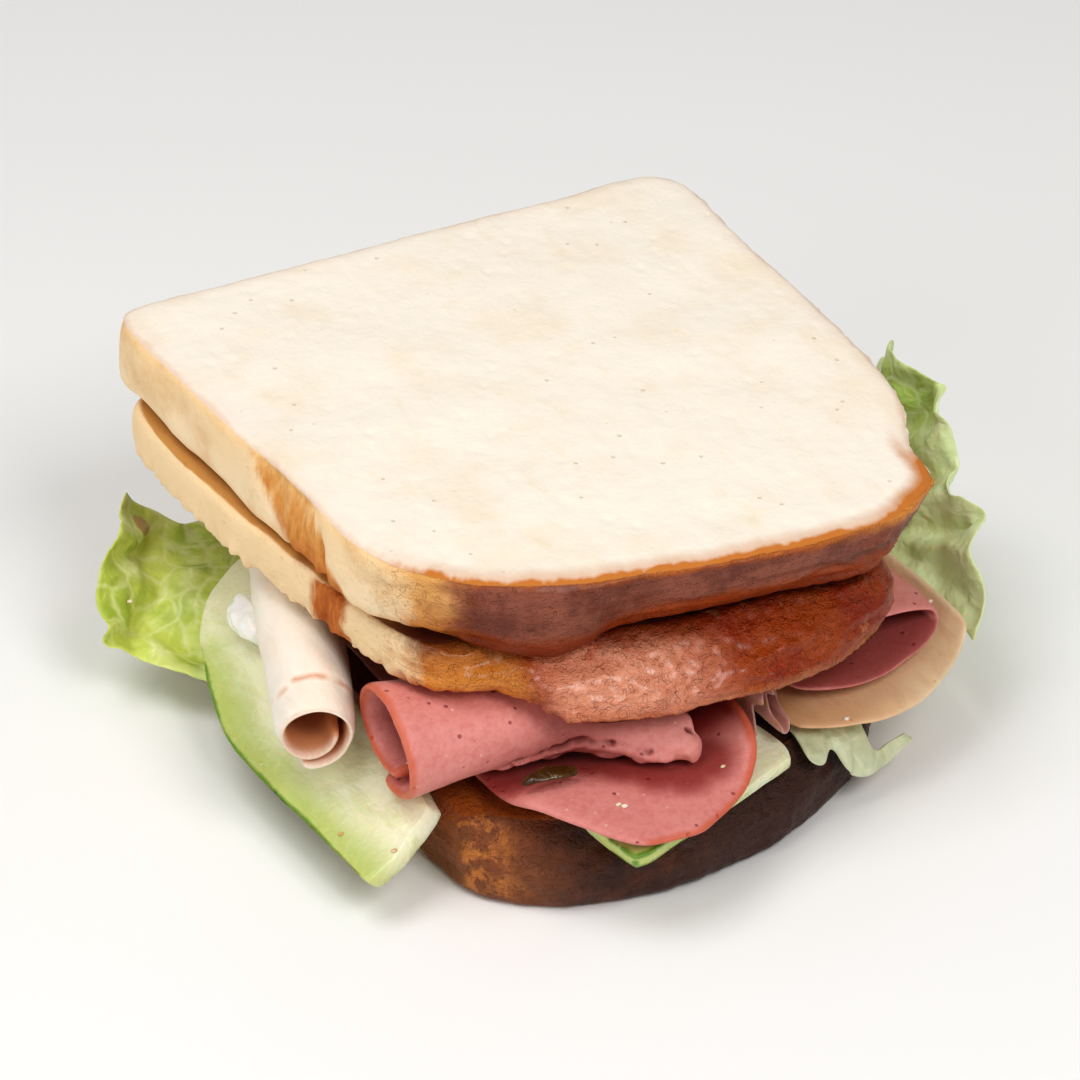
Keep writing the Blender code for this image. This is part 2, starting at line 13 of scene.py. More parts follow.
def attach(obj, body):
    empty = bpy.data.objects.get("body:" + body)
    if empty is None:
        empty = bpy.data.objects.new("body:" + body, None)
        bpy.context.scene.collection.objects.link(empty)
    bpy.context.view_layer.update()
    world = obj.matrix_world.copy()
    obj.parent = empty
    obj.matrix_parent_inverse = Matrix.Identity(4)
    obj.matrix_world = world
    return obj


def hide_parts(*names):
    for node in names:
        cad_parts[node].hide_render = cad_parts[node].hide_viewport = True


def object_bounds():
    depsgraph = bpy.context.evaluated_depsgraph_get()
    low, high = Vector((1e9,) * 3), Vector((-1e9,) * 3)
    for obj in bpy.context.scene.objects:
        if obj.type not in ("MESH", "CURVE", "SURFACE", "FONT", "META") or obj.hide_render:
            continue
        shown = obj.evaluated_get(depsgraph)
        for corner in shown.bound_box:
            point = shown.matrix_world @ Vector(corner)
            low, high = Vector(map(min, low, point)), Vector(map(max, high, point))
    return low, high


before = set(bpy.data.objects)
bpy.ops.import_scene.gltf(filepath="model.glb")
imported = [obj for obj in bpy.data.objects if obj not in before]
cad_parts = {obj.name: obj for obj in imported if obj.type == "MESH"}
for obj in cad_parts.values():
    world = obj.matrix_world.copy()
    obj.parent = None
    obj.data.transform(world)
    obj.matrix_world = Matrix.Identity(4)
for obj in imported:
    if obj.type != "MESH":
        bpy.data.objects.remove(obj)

bl_info = {
    "name": "Layered sandwich",
    "version": (1, 0, 0),
    "blender": (4, 5, 0),
    "location": "View3D > Sidebar > Sandwich",
    "description": "Dresses a layered sandwich and its studio stage",
    "category": "Object",
}

CAD_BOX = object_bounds()
WELD = 1e-6

# The strip of torn brown skin on the top slice's left side slants from its rim to its foot
PATCH_TOP_Y = 0.0060
PATCH_LOW_Y = -0.0100
PATCH_CORE = 0.0050
PATCH_REACH = 0.0140

# Where the front crusts change across the stack: each pair is where the change starts and ends
TOP_CORNER = (-0.0475, -0.0425)
LEATHER_START = (-0.0455, -0.0345)
TAN_TO_ORANGE = (-0.0420, -0.0350)
LEATHER_THINS = (-0.020, -0.004)
LIP = (0.034, 0.046)
LIP_GOLD = (0.018, 0.044)
MIDDLE_CORNER = (-0.0465, -0.0425)
LOBES_MEET = (-0.0265, -0.0315)
PLUMP_START = (-0.030, -0.024)
PLUMP_END = (0.010, -0.004)
SHEEN_START = (-0.028, -0.022)
SHEEN_END = (0.004, -0.006)
FLAKES_START = (-0.022, -0.010)

# The right side of the top slice is bare torn crumb from here on, across and back
BARE_ACROSS = (0.0500, 0.0545)
BARE_BACK = (-0.0455, -0.0405)

# The mortadella roll's flap is torn along a jagged line, and cracked at its end
TEAR_LINE = (
    (-0.0315, -0.0425, 0.0243), (-0.0285, -0.0435, 0.0255), (-0.0229, -0.0448, 0.0268),
    (-0.0188, -0.0472, 0.0278), (-0.0163, -0.0492, 0.0280), (-0.0135, -0.0522, 0.0278),
    (-0.0105, -0.0552, 0.0276),
)
END_CRACK = ((-0.0034, -0.0550, 0.0296), (-0.0012, -0.0566, 0.0284), (0.0004, -0.0576, 0.0270))

# The mortadella roll's mouth and the direction in which the roll runs in from it
ROLL_MOUTH = np.array((-0.0500, -0.0300, 0.0287))
ROLL_AXIS = np.array((0.9925, -0.1219, 0.0))

# The height halfway between the two layers of the folded mortadella
FOLD_MIDDLE = 0.0268

# Where the mayonnaise sits and its half width, depth and height
MAYONNAISE_PLACE = (-0.0490, 0.0205, 0.0240)
MAYONNAISE_SIZE = (0.0034, 0.0062, 0.0036)

# Where crumbs fell, and from what height
CRUMB_DROP = 0.031
CRUMB_PLACES = (
    (-0.0610, -0.0050), (-0.0585, -0.0300), (-0.0540, -0.0410), (-0.0470, -0.0340), (-0.0205, -0.0604),
    (-0.0198, -0.0611), (0.0012, -0.0600), (0.0300, -0.0560), (0.0560, -0.0440), (-0.0620, 0.0450),
)

# A small rusty bruise on the rim of the bright leaf
RUST_SPOT = np.array((-0.0520, 0.0580, 0.0245))

# How far apart the points of the even meshes are
TOP_GRAIN = 0.00072
MIDDLE_GRAIN = 0.00060
BOTTOM_GRAIN = 0.00066
ROLL_GRAIN = 0.00042

# The share of the way down a slice at which its crumb face ends and its crust begins
TOP_EDGE = 0.06
LOWER_EDGE = 0.02

# The thickness of the slices
TOP_THICKNESS = 0.015
MIDDLE_THICKNESS = 0.010
BOTTOM_THICKNESS = 0.016

# The camera looks at the middle of the stack from the left of its front
CAMERA_TURN = math.radians(-31.0)
CAMERA_RISE = math.radians(34.0)
CAMERA_AIM = Vector((0.0, 0.0, 0.0363))
CAMERA_DISTANCE = 0.819

# Name, place, size and share of the power of each soft light, and the strength of the light all round
LAMPS = (
    ("overhead", (-0.40, 0.05, 1.15), 0.60, 0.60),
    ("left", (-0.95, -0.30, 0.60), 0.50, 0.28),
    ("front", (0.05, -0.75, 0.85), 0.45, 0.60),
)
LAMP_AIM = Vector((0.0, 0.0, 0.03))
ROUND_LIGHT = 0.28

# The turkey roll's mouth and the direction in which the roll runs in from it
TURKEY_MOUTH = np.array((-0.0586, -0.0217, 0.0271))
TURKEY_AXIS = np.array((0.389, 0.917, 0.091))
TURKEY_STEP = 0.0088


def rgba(colour):
    """Linear red, green, blue and alpha of a colour given as RRGGBB or as three linear shares."""
    if isinstance(colour, str):
        shares = [int(colour[i:i + 2], 16) / 255.0 for i in (0, 2, 4)]
        colour = [v / 12.92 if v <= 0.04045 else ((v + 0.055) / 1.055) ** 2.4 for v in shares]
    return (*colour[:3], 1.0)


def colour_setting(name, description, text):
    return bpy.props.FloatVectorProperty(
        name=name, description=description, subtype="COLOR", size=3, min=0.0, max=1.0,
        default=rgba(text)[:3],
    )


def length_setting(name, description, metres):
    return bpy.props.FloatProperty(
        name=name, description=description, subtype="DISTANCE", unit="LENGTH", min=0.0,
        default=metres,
    )


class BreadSettings(bpy.types.PropertyGroup):
    crumb: colour_setting("Crumb", "Cut face of the loaf", "F9EFE0")
    crumb_shade: colour_setting("Crumb shade", "Faint darker clouds in the crumb", "F1DEC0")
    rim: colour_setting("Rim", "Golden line where the crumb meets the crust", "C87C38")
    pale_side: colour_setting("Pale side", "Soft side where two loaves were pulled apart", "F8DAAE")
    torn: colour_setting("Torn patch", "Brown skin left on the soft side", "BE6C2E")
    leather: colour_setting("Top crust", "Dark leathery crust of the top slice", "713826")
    baked: colour_setting("Baked crust", "Orange-brown crust", "A04408")
    glazed: colour_setting("Glazed crust", "Red-brown shiny crust of the middle slice", "922E06")
    burnt: colour_setting("Bottom crust", "Near-black crust of the bottom slice", "462C24")
    fold_height: length_setting("Crust folds", "Height of the folds in the crust", 0.0007)
    crumb_relief: length_setting("Crumb relief", "Height of the crumb's unevenness", 0.0003)


class FillingSettings(bpy.types.PropertyGroup):
    mortadella: colour_setting("Mortadella", "Pink of the sliced sausage", "DD928A")
    casing: colour_setting("Casing", "Orange-red skin round the sausage", "CE6440")
    turkey: colour_setting("Turkey", "Cream of the turkey breast", "FBF0E2")
    turkey_edge: colour_setting("Turkey edge", "Tan of the turkey's roasted edge", "C98A4E")
    # The sleeve's tanner colour is partly its own tint, partly painted shade.
    sleeve: colour_setting("Turkey sleeve", "Tanner slice at the right", "E7CBA4")
    ham: colour_setting("Ham", "Pinkish grey of the thin ham", "CF9C93")
    flesh: colour_setting("Cucumber flesh", "Pale green flesh", "F0EFCA")
    skin: colour_setting("Cucumber skin", "Green skin", "6B962B")
    leaf: colour_setting("Leaf", "Bright leaf at the left", "CEDA6C")
    leaf_shade: colour_setting("Leaf shade", "Folds of the bright leaf", "94AE34")
    right_leaf: colour_setting("Right leaf", "Frilly leaf at the right", "DAE8A4")
    pale_leaf: colour_setting("Pale leaf", "Inner leaf", "CBD0AC")
    vein: colour_setting("Vein", "Veins and ribs of the leaves", "E8ECB2")
    pickle: colour_setting("Pickle", "Olive brown of the pickle", "402408")
    sauce: colour_setting("Sauce", "White of the mayonnaise", "FEFCF6")
    frill: length_setting("Frill", "Height of the frills on the leaves", 0.0016)


class StageSettings(bpy.types.PropertyGroup):
    floor: colour_setting("Floor", "Plain pale floor", "FBFAF8")
    key_power: bpy.props.FloatProperty(
        name="Key light", description="Power that the soft lights share", unit="POWER", min=0.0,
        default=7.2,
    )
    lens: bpy.props.FloatProperty(
        name="Lens", description="Focal length of the camera in millimetres", min=20.0,
        default=150.0,
    )


class Value:
    """A node's output, to which Python arithmetic adds Math nodes."""

    def __init__(self, finish, socket):
        self.finish = finish
        self.socket = socket

    def beside(self, output):
        """Another output of the same node."""
        return Value(self.finish, self.socket.node.outputs[output])

    def maths(self, operation, left, right):
        return self.finish.node("ShaderNodeMath", {"operation": operation}, {0: left, 1: right})

    def __add__(self, other):
        return self.maths("ADD", self, other)

    def __radd__(self, other):
        return self.maths("ADD", other, self)

    def __sub__(self, other):
        return self.maths("SUBTRACT", self, other)

    def __rsub__(self, other):
        return self.maths("SUBTRACT", other, self)

    def __mul__(self, other):
        return self.maths("MULTIPLY", self, other)

    def __rmul__(self, other):
        return self.maths("MULTIPLY", other, self)


class Finish:
    """A material whose patterns are written as expressions."""

    def __init__(self, name, roughness=0.5, **constants):
        self.material = bpy.data.materials.new(name)
        self.material.use_nodes = True
        self.tree = self.material.node_tree
        self.shader = self.tree.nodes["Principled BSDF"]
        self.shader.inputs["Roughness"].default_value = roughness
        for socket, value in constants.items():
            self.shader.inputs[socket.replace("_", " ")].default_value = value
        self.place = self.node("ShaderNodeTexCoord", output="Object")

    def node(self, kind, settings=None, inputs=None, output=0):
        """Adds a node: its settings first, then the values or links of its sockets."""
        made = self.tree.nodes.new(kind)
        for key, value in (settings or {}).items():
            if key == "stops":
                self.set_stops(made.color_ramp, value)
            else:
                setattr(made, key, value)
        for key, value in (inputs or {}).items():
            self.feed(made.inputs[key], value)
        return Value(self, made.outputs[output])

    def feed(self, socket, value):
        if isinstance(value, Value):
            self.tree.links.new(value.socket, socket)
        elif socket.type == "RGBA":
            socket.default_value = rgba(value)
        else:
            socket.default_value = value

    def set_stops(self, band, stops):
        while len(band.elements) < len(stops):
            band.elements.new(1.0)
        for element, (position, colour) in zip(band.elements, stops):
            element.position = position
            element.color = rgba(colour)

    def attribute(self, name):
        return self.node("ShaderNodeAttribute", {"attribute_name": name}, output="Fac")

    def stretched(self, stretch, turn=(0.0, 0.0, 0.0)):
        return self.node(
            "ShaderNodeMapping", inputs={"Vector": self.place, "Rotation": turn, "Scale": stretch},
        )

    def noise(self, scale, detail=3.0, roughness=0.55, place=None, distortion=0.0):
        return self.node("ShaderNodeTexNoise", inputs={
            "Vector": place or self.place, "Scale": scale, "Detail": detail, "Roughness": roughness,
            "Distortion": distortion,
        })

    def cell_edges(self, scale, place):
        """The distance to the nearest border between random cells."""
        return self.node(
            "ShaderNodeTexVoronoi", {"feature": "DISTANCE_TO_EDGE"}, {"Vector": place, "Scale": scale},
        )

    def fade(self, value, low, high):
        """Goes smoothly from 0 at low to 1 at high, which may be the smaller."""
        return self.node(
            "ShaderNodeMapRange", {"interpolation_type": "SMOOTHSTEP"},
            {"Value": value, "From Min": low, "From Max": high},
        )

    def clouds(self, scale, low, high, detail=4.0, roughness=0.6, place=None):
        """Soft patches, from 0 to 1."""
        return self.fade(self.noise(scale, detail, roughness, place), low, high)

    def mix(self, share, first, second):
        return self.node(
            "ShaderNodeMix", {"data_type": "RGBA"}, {"Factor": share, 6: first, 7: second}, output=2,
        )

    def ramp(self, value, *stops):
        return self.node("ShaderNodeValToRGB", {"stops": stops}, {"Fac": value})

    def spots(self, scale, size, share):
        """Small round spots in a share of the cells of a random grid."""
        cell = self.node("ShaderNodeTexVoronoi", inputs={"Vector": self.place, "Scale": scale})
        red = self.node("ShaderNodeSeparateColor", inputs={"Color": cell.beside("Color")})
        return self.fade(cell, size, size * 0.5) * self.fade(red, 1.0 - share, 1.02 - share)

    def front_crust(self, across, down, bread):
        """The top slice's front: tan corner, then a dark leathery band with orange-brown below it."""
        foot = 0.80 - self.fade(across, *LEATHER_THINS) * 0.22
        band = self.fade(down, 0.05, 0.16) * self.fade(down, foot, foot - 0.20)
        band = band * self.fade(across, *LEATHER_START)
        # Both ramps darken toward the foot: partly the crust's bake, partly painted shade of the crease under
        # the top slice.
        tan = self.ramp(down, (0.0, "E0A256"), (0.25, "E2AA62"), (0.75, "D68C3C"), (1.0, "A25410"))
        orange = self.ramp(down, (0.0, "C9752A"), (0.12, "9A4C1C"), (0.6, bread.baked), (1.0, "6A1E02"))
        under = self.mix(self.fade(across, *TAN_TO_ORANGE), tan, orange)
        golden = self.fade(down, 0.26, 0.08) * self.fade(across, *LIP_GOLD)
        under = self.mix(golden * 0.8, under, "DC9446")
        band = band * (1.0 - golden)
        leather = self.mix(self.clouds(120.0, 0.36, 0.62), bread.leather, "925440")
        return self.mix(band, under, leather)

    def torn_skin(self, under, bread):
        """Streaks of brown skin left on the soft side, with a ragged outline."""
        streaks = self.noise(120.0, 4.0, 0.65, self.stretched((1.6, 1.6, 0.6), (0.5, 0.0, 0.0)), 0.8)
        patch = self.fade(self.attribute("patch") + (streaks - 0.5) * 1.1, 0.15, 0.75)
        fibres = self.noise(380.0, 3.0, 0.65, self.stretched((1.6, 1.6, 0.5), (0.5, 0.0, 0.0)))
        deep = streaks * 0.55 + fibres * 0.45 + self.attribute("low") * 0.40 - 0.36
        skin = self.ramp(deep, (0.12, "F0C284"), (0.32, "DE9C54"), (0.54, bread.torn), (0.76, "8E3E16"))
        return self.mix(patch, under, skin)

    def relief(self, height, distance):
        inputs = {"Height": height, "Distance": distance, "Strength": 1.0}
        return self.node("ShaderNodeBump", inputs=inputs)

    def use(self, **links):
        """Feeds sockets of the shader: Base_Color, Roughness, Normal and the like."""
        for socket, value in links.items():
            self.feed(self.shader.inputs[socket.replace("_", " ")], value)
        return self.material


def ease(value, low, high):
    """The same as fade, for an array."""
    share = np.clip((value - low) / (high - low), 0.0, 1.0)
    return share * share * (3.0 - 2.0 * share)


def chance(cell, seed):
    """A repeatable number from 0 to 1 for each whole-numbered cell."""
    mixed = cell[..., 0] * 73856093 ^ cell[..., 1] * 19349663 ^ cell[..., 2] * 83492791
    mixed = mixed ^ seed * 2654435761
    mixed = (mixed ^ (mixed >> 15)) * 2246822519 & 0xFFFFFFFF
    mixed = (mixed ^ (mixed >> 13)) * 3266489917 & 0xFFFFFFFF
    return (mixed ^ (mixed >> 16)) / 0xFFFFFFFF


def smooth_noise(points, seed=1):
    """Noise from -1 to 1 whose features are one unit across."""
    cell = np.floor(points).astype(np.int64)
    part = points - cell
    part = part * part * (3.0 - 2.0 * part)
    total = np.zeros(len(points))
    for corner in np.ndindex(2, 2, 2):
        weight = np.prod(np.where(corner, part, 1.0 - part), axis=1)
        total += weight * chance(cell + np.array(corner), seed)
    return 2.0 * total - 1.0


def layered_noise(points, seed=1, layers=3):
    total = np.zeros(len(points))
    for layer in range(layers):
        total += smooth_noise(points * 2.0 ** layer, seed + layer) / 2.0 ** layer
    return total


def pits(points, share, seed):
    """Round pits from 0 to 1 deep, about one unit apart where all the cells have one."""
    cell = np.floor(points).astype(np.int64)
    deepest = np.zeros(len(points))
    for step in np.ndindex(3, 3, 3):
        near = cell + np.array(step) - 1
        middle = near + np.stack([chance(near, seed + k) for k in (1, 2, 3)], axis=-1)
        radius = 0.18 + 0.30 * chance(near, seed + 4)
        distance = np.linalg.norm(points - middle, axis=1) / radius
        deepest = np.maximum(deepest, (chance(near, seed) < share) * ease(distance, 1.0, 0.3))
    return deepest


def activate(piece):
    """Leaves this piece alone selected and active."""
    if bpy.context.mode != "OBJECT":
        bpy.ops.object.mode_set(mode="OBJECT")
    bpy.ops.object.select_all(action="DESELECT")
    if piece:
        piece.select_set(True)
        bpy.context.view_layer.objects.active = piece


def apply_modifier(piece, kind, **settings):
    modifier = piece.modifiers.new(kind.title(), kind)
    for key, value in settings.items():
        setattr(modifier, key, value)
    activate(piece)
    bpy.ops.object.modifier_apply(modifier=modifier.name)


def subdivide(piece, levels):
    apply_modifier(piece, "SUBSURF", levels=levels, render_levels=levels)


def solid_copy(node, name):
    """A piece that starts as the node's solid, its loose triangles joined."""
    piece = bpy.data.objects.new(name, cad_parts[node].data.copy())
    bpy.context.scene.collection.objects.link(piece)
    piece.data.materials.clear()
    activate(piece)
    bpy.ops.mesh.customdata_custom_splitnormals_clear()
    bpy.ops.object.mode_set(mode="EDIT")
    bpy.ops.mesh.select_all(action="SELECT")
    bpy.ops.mesh.remove_doubles(threshold=WELD)
    most = math.radians(60.0)
    bpy.ops.mesh.tris_convert_to_quads(face_threshold=most, shape_threshold=most)
    bpy.ops.object.mode_set(mode="OBJECT")
    return piece


def read(piece, what="co"):
    values = np.empty(len(piece.data.vertices) * 3)
    piece.data.vertices.foreach_get(what, values)
    return values.reshape(-1, 3)


def move(piece, points):
    piece.data.vertices.foreach_set("co", points.ravel())
    piece.data.update()


def keep_in_box(points, spare=0.0002):
    return np.clip(points, np.array(CAD_BOX[0]) + spare, np.array(CAD_BOX[1]) - spare)


def paint(piece, **maps):
    """Stores numbers for each point, which the piece's material reads by name."""
    for name, values in maps.items():
        layer = piece.data.attributes.new(name, "FLOAT", "POINT")
        layer.data.foreach_set("value", np.ascontiguousarray(values, dtype=np.float32))


def nearest(points, marks):
    """The nearest of the marks to each point, and how far off it is."""
    tree = kdtree.KDTree(len(marks))
    for i, mark in enumerate(marks):
        tree.insert(mark, i)
    tree.balance()
    places, _, distances = zip(*(tree.find(point) for point in points))
    return np.array(places), np.array(distances)


def distance_to(points, marks):
    """How far each point is from the nearest of the marks, or a metre where there are none."""
    return nearest(points, marks)[1] if len(marks) else np.ones(len(points))


def edge_normals(mesh):
    """The normals of the faces that meet at each edge."""
    normals = {}
    for polygon in mesh.polygons:
        for key in polygon.edge_keys:
            normals.setdefault(key, []).append(polygon.normal.copy())
    return normals


def rim_marks(piece, wanted, step=0.0006):
    """Places along the sharp edges of a solid, where wanted(place) is true."""
    mesh = piece.data
    marks = []
    for (start, end), pair in edge_normals(mesh).items():
        if len(pair) == 2 and pair[0].dot(pair[1]) < 0.55:
            a, b = mesh.vertices[start].co, mesh.vertices[end].co
            count = max(1, int((b - a).length / step))
            marks += [a.lerp(b, k / count) for k in range(count)]
    return [mark for mark in marks if wanted(mark)]


def finish_piece(piece, material, slot, *nodes):
    """Gives a piece its material and ties it to the frame."""
    piece.data.materials.clear()
    piece.data.materials.append(material)
    faces = piece.data.polygons
    faces.foreach_set("material_index", np.zeros(len(faces), dtype=np.int32))
    activate(piece)
    bpy.ops.object.shade_smooth()
    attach(piece, "root")
    if nodes:
        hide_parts(*nodes)
    return piece


def fine_slice(node, name, grain, edge):
    """A slice as an even fine mesh, with maps of how each point lies on it.

    edge is the share of the way down at which the crumb face ends and the crust begins.
    """
    piece = solid_copy(node, name)
    subdivide(piece, 2)
    apply_modifier(piece, "REMESH", mode="VOXEL", voxel_size=grain, use_smooth_shade=True)
    apply_modifier(piece, "SMOOTH", factor=0.5, iterations=6)
    points = read(piece)
    normals = read(piece, "normal")
    upward = normals[normals[:, 2] > 0.97].mean(axis=0)
    upward /= np.linalg.norm(upward)
    height = points @ upward
    down = (height.max() - height) / (height.max() - height.min())
    level = normals - np.outer(normals @ upward, upward)
    level /= np.maximum(np.linalg.norm(level, axis=1, keepdims=True), 1e-9)
    body = ease(down, edge, edge + 0.08) * ease(down, 0.96, 0.90)
    side = np.maximum(ease(1.0 - np.abs(normals @ upward), 0.15, 0.6), body)
    maps = {
        "down": down,
        "side": side,
        "front": side * ease(-level[:, 1], 0.05, 0.6),
        "left": side * ease(-level[:, 0], 0.45, 0.8),
        "right": side * ease(level[:, 0], 0.55, 0.85),
        "inset": distance_to(points, points[side > 0.6]),
    }
    return piece, points, normals, maps


def crumb_height(points, relief):
    """The unevenness of a cut crumb face."""
    swell = layered_noise(points * 95.0, 11, 3) * relief * 0.55
    grain = layered_noise(points * 480.0, 14, 2) * relief * 0.28
    return swell + grain - pits(points * 330.0, 0.16, 17) * relief * 0.9


def crust_height(points, down, thickness, relief, seed):
    """Folds that run along the loaf, and a finer leathery grain."""
    along = np.stack([points[:, 0] * 55.0, points[:, 1] * 55.0, down * thickness * 330.0], axis=1)
    folds = 1.0 - 2.0 * np.abs(layered_noise(along, seed, 2))
    grain = layered_noise(points * 620.0, seed + 5, 2)
    return folds * relief * 0.7 + grain * relief * 0.22


def crumb_look(look, settings):
    """Colour and height of the crumb."""
    clouds = look.clouds(60.0, 0.42, 0.76)
    streaks = look.clouds(170.0, 0.55, 0.80, place=look.stretched((1.0, 0.4, 1.0), (0.0, 0.0, 0.5)))
    colour = look.mix(clouds * 0.5, settings.crumb, settings.crumb_shade)
    colour = look.mix(streaks * 0.35, colour, "EED8AC")
    flecks = look.spots(430.0, 0.20, 0.10)
    colour = look.mix(flecks * 0.45, colour, "DDBE8E")
    height = look.noise(800.0, 2.0, 0.65) * 0.6 + look.noise(260.0, 2.0, 0.6) * 0.5 - flecks * 0.6
    return colour, height


def crust_grain(look):
    """Fine leathery wrinkles and pits of a baked crust."""
    wrinkles = look.noise(380.0, 3.0, 0.65, look.stretched((1.0, 1.0, 2.6)), 0.6)
    pores = look.clouds(900.0, 0.64, 0.70, 0.0, 0.55)
    return wrinkles - pores * 0.3 + look.noise(2200.0, 1.0, 0.6) * 0.35


def slice_parts(look, bread, waver, sway):
    """What the slices share: crumb, its bumps, the crust's grain, a wobble, and the place across and back."""
    crumb, crumb_bumps = crumb_look(look, bread)
    wobble = look.noise(*waver) - 0.5
    place = look.node("ShaderNodeSeparateXYZ", inputs={"Vector": look.place})
    return crumb, crumb_bumps, crust_grain(look), wobble, place + wobble * sway, place.beside("Y")


class SANDWICH_OT_top_slice(bpy.types.Operator):
    """Top slice: cream crumb face, golden rim, leathery front crust and soft torn side"""

    bl_idname = "sandwich.top_slice"
    bl_label = "Top slice"

    def execute(self, context):
        bread = context.scene.sandwich_bread
        piece, points, normals, maps = fine_slice("bread_top", "top_slice", TOP_GRAIN, TOP_EDGE)
        beside = ease(points[:, 0], *BARE_ACROSS) * ease(points[:, 1], *BARE_BACK)
        maps["front"] *= 1.0 - beside
        front, left, right, down = maps["front"], maps["left"], maps["right"], maps["down"]
        middle = PATCH_TOP_Y + (PATCH_LOW_Y - PATCH_TOP_Y) * down
        patch = left * ease(np.abs(points[:, 1] - middle), PATCH_REACH, PATCH_CORE)
        crumb = 1.0 - maps["side"]
        crust = crust_height(points, down, TOP_THICKNESS, bread.fold_height, 31) * front
        flakes = layered_noise(points * np.array([500.0, 420.0, 150.0]), 37, 2)
        flakes = flakes * 0.0007 * patch - 0.0005 * patch
        lumps = layered_noise(points * 75.0, 41, 3) * 0.0006 * (left + 0.4 * front)
        ragged = layered_noise(points * 420.0, 43, 2) * 0.0005 * right
        outside = maps["side"] * (crust + flakes + lumps + ragged)
        height = crumb * crumb_height(points, bread.crumb_relief) + outside
        move(piece, keep_in_box(points + normals * height[:, None]))
        paint(piece, **maps, patch=patch, low=down, beside=beside)
        return self.dress(piece, bread)

    def dress(self, piece, bread):
        look = Finish("Top slice", roughness=0.8, Specular_IOR_Level=0.2, Coat_Roughness=0.3)
        parts = slice_parts(look, bread, (160.0, 3.0, 0.6), 0.007)
        crumb, crumb_bumps, grain, wobble, across, back = parts
        down = look.attribute("down") + wobble * 0.20
        baked = look.front_crust(across, down, bread)
        soft = look.ramp(down, (0.0, "F4CC94"), (0.22, bread.pale_side), (0.7, "FBE2BC"), (1.0, "F4D4A2"))
        soft = look.mix(look.clouds(90.0, 0.45, 0.7, 5.0) * 0.4, soft, "DBA664")
        soft = look.torn_skin(soft, bread)
        bare = look.mix(look.clouds(130.0, 0.5, 0.7) * 0.6, bread.crumb, "E8C48C")
        soft = look.mix(look.attribute("right"), soft, bare)
        turned = look.fade(across, *TOP_CORNER)
        front = look.attribute("front")
        crust = look.mix(look.fade(front + wobble * 0.3, 0.2, 0.6) * turned, soft, baked)
        near = look.attribute("inset") + wobble * 0.0024
        toward_front = look.fade(back + wobble * 0.01, -0.021, -0.040)
        toward_front = toward_front * (1.0 - look.attribute("beside"))
        lip = look.fade(across, *LIP) * toward_front
        line = look.fade(near, 0.0018, 0.0004) * (0.22 + toward_front * 0.55)
        line = line + look.fade(near, 0.0050, 0.0010) * (0.10 + toward_front * 0.42)
        line = line + look.fade(near, 0.0050, 0.0015) * lip * 0.45
        crumb = look.mix(line, crumb, bread.rim)
        side = look.fade(look.attribute("side") + wobble * 0.35, 0.35, 0.65)
        colour = look.mix(side, crumb, crust)
        baked_side = side * front
        height = crumb_bumps * (1.0 - baked_side) * 0.5 + grain * side * (0.2 + front * 1.6)
        material = look.use(
            Base_Color=colour, Roughness=0.85 - baked_side * 0.36, Normal=look.relief(height, 0.00045),
            Coat_Weight=baked_side * 0.3,
        )
        finish_piece(piece, material, "crumb", "bread_top")
        return {"FINISHED"}


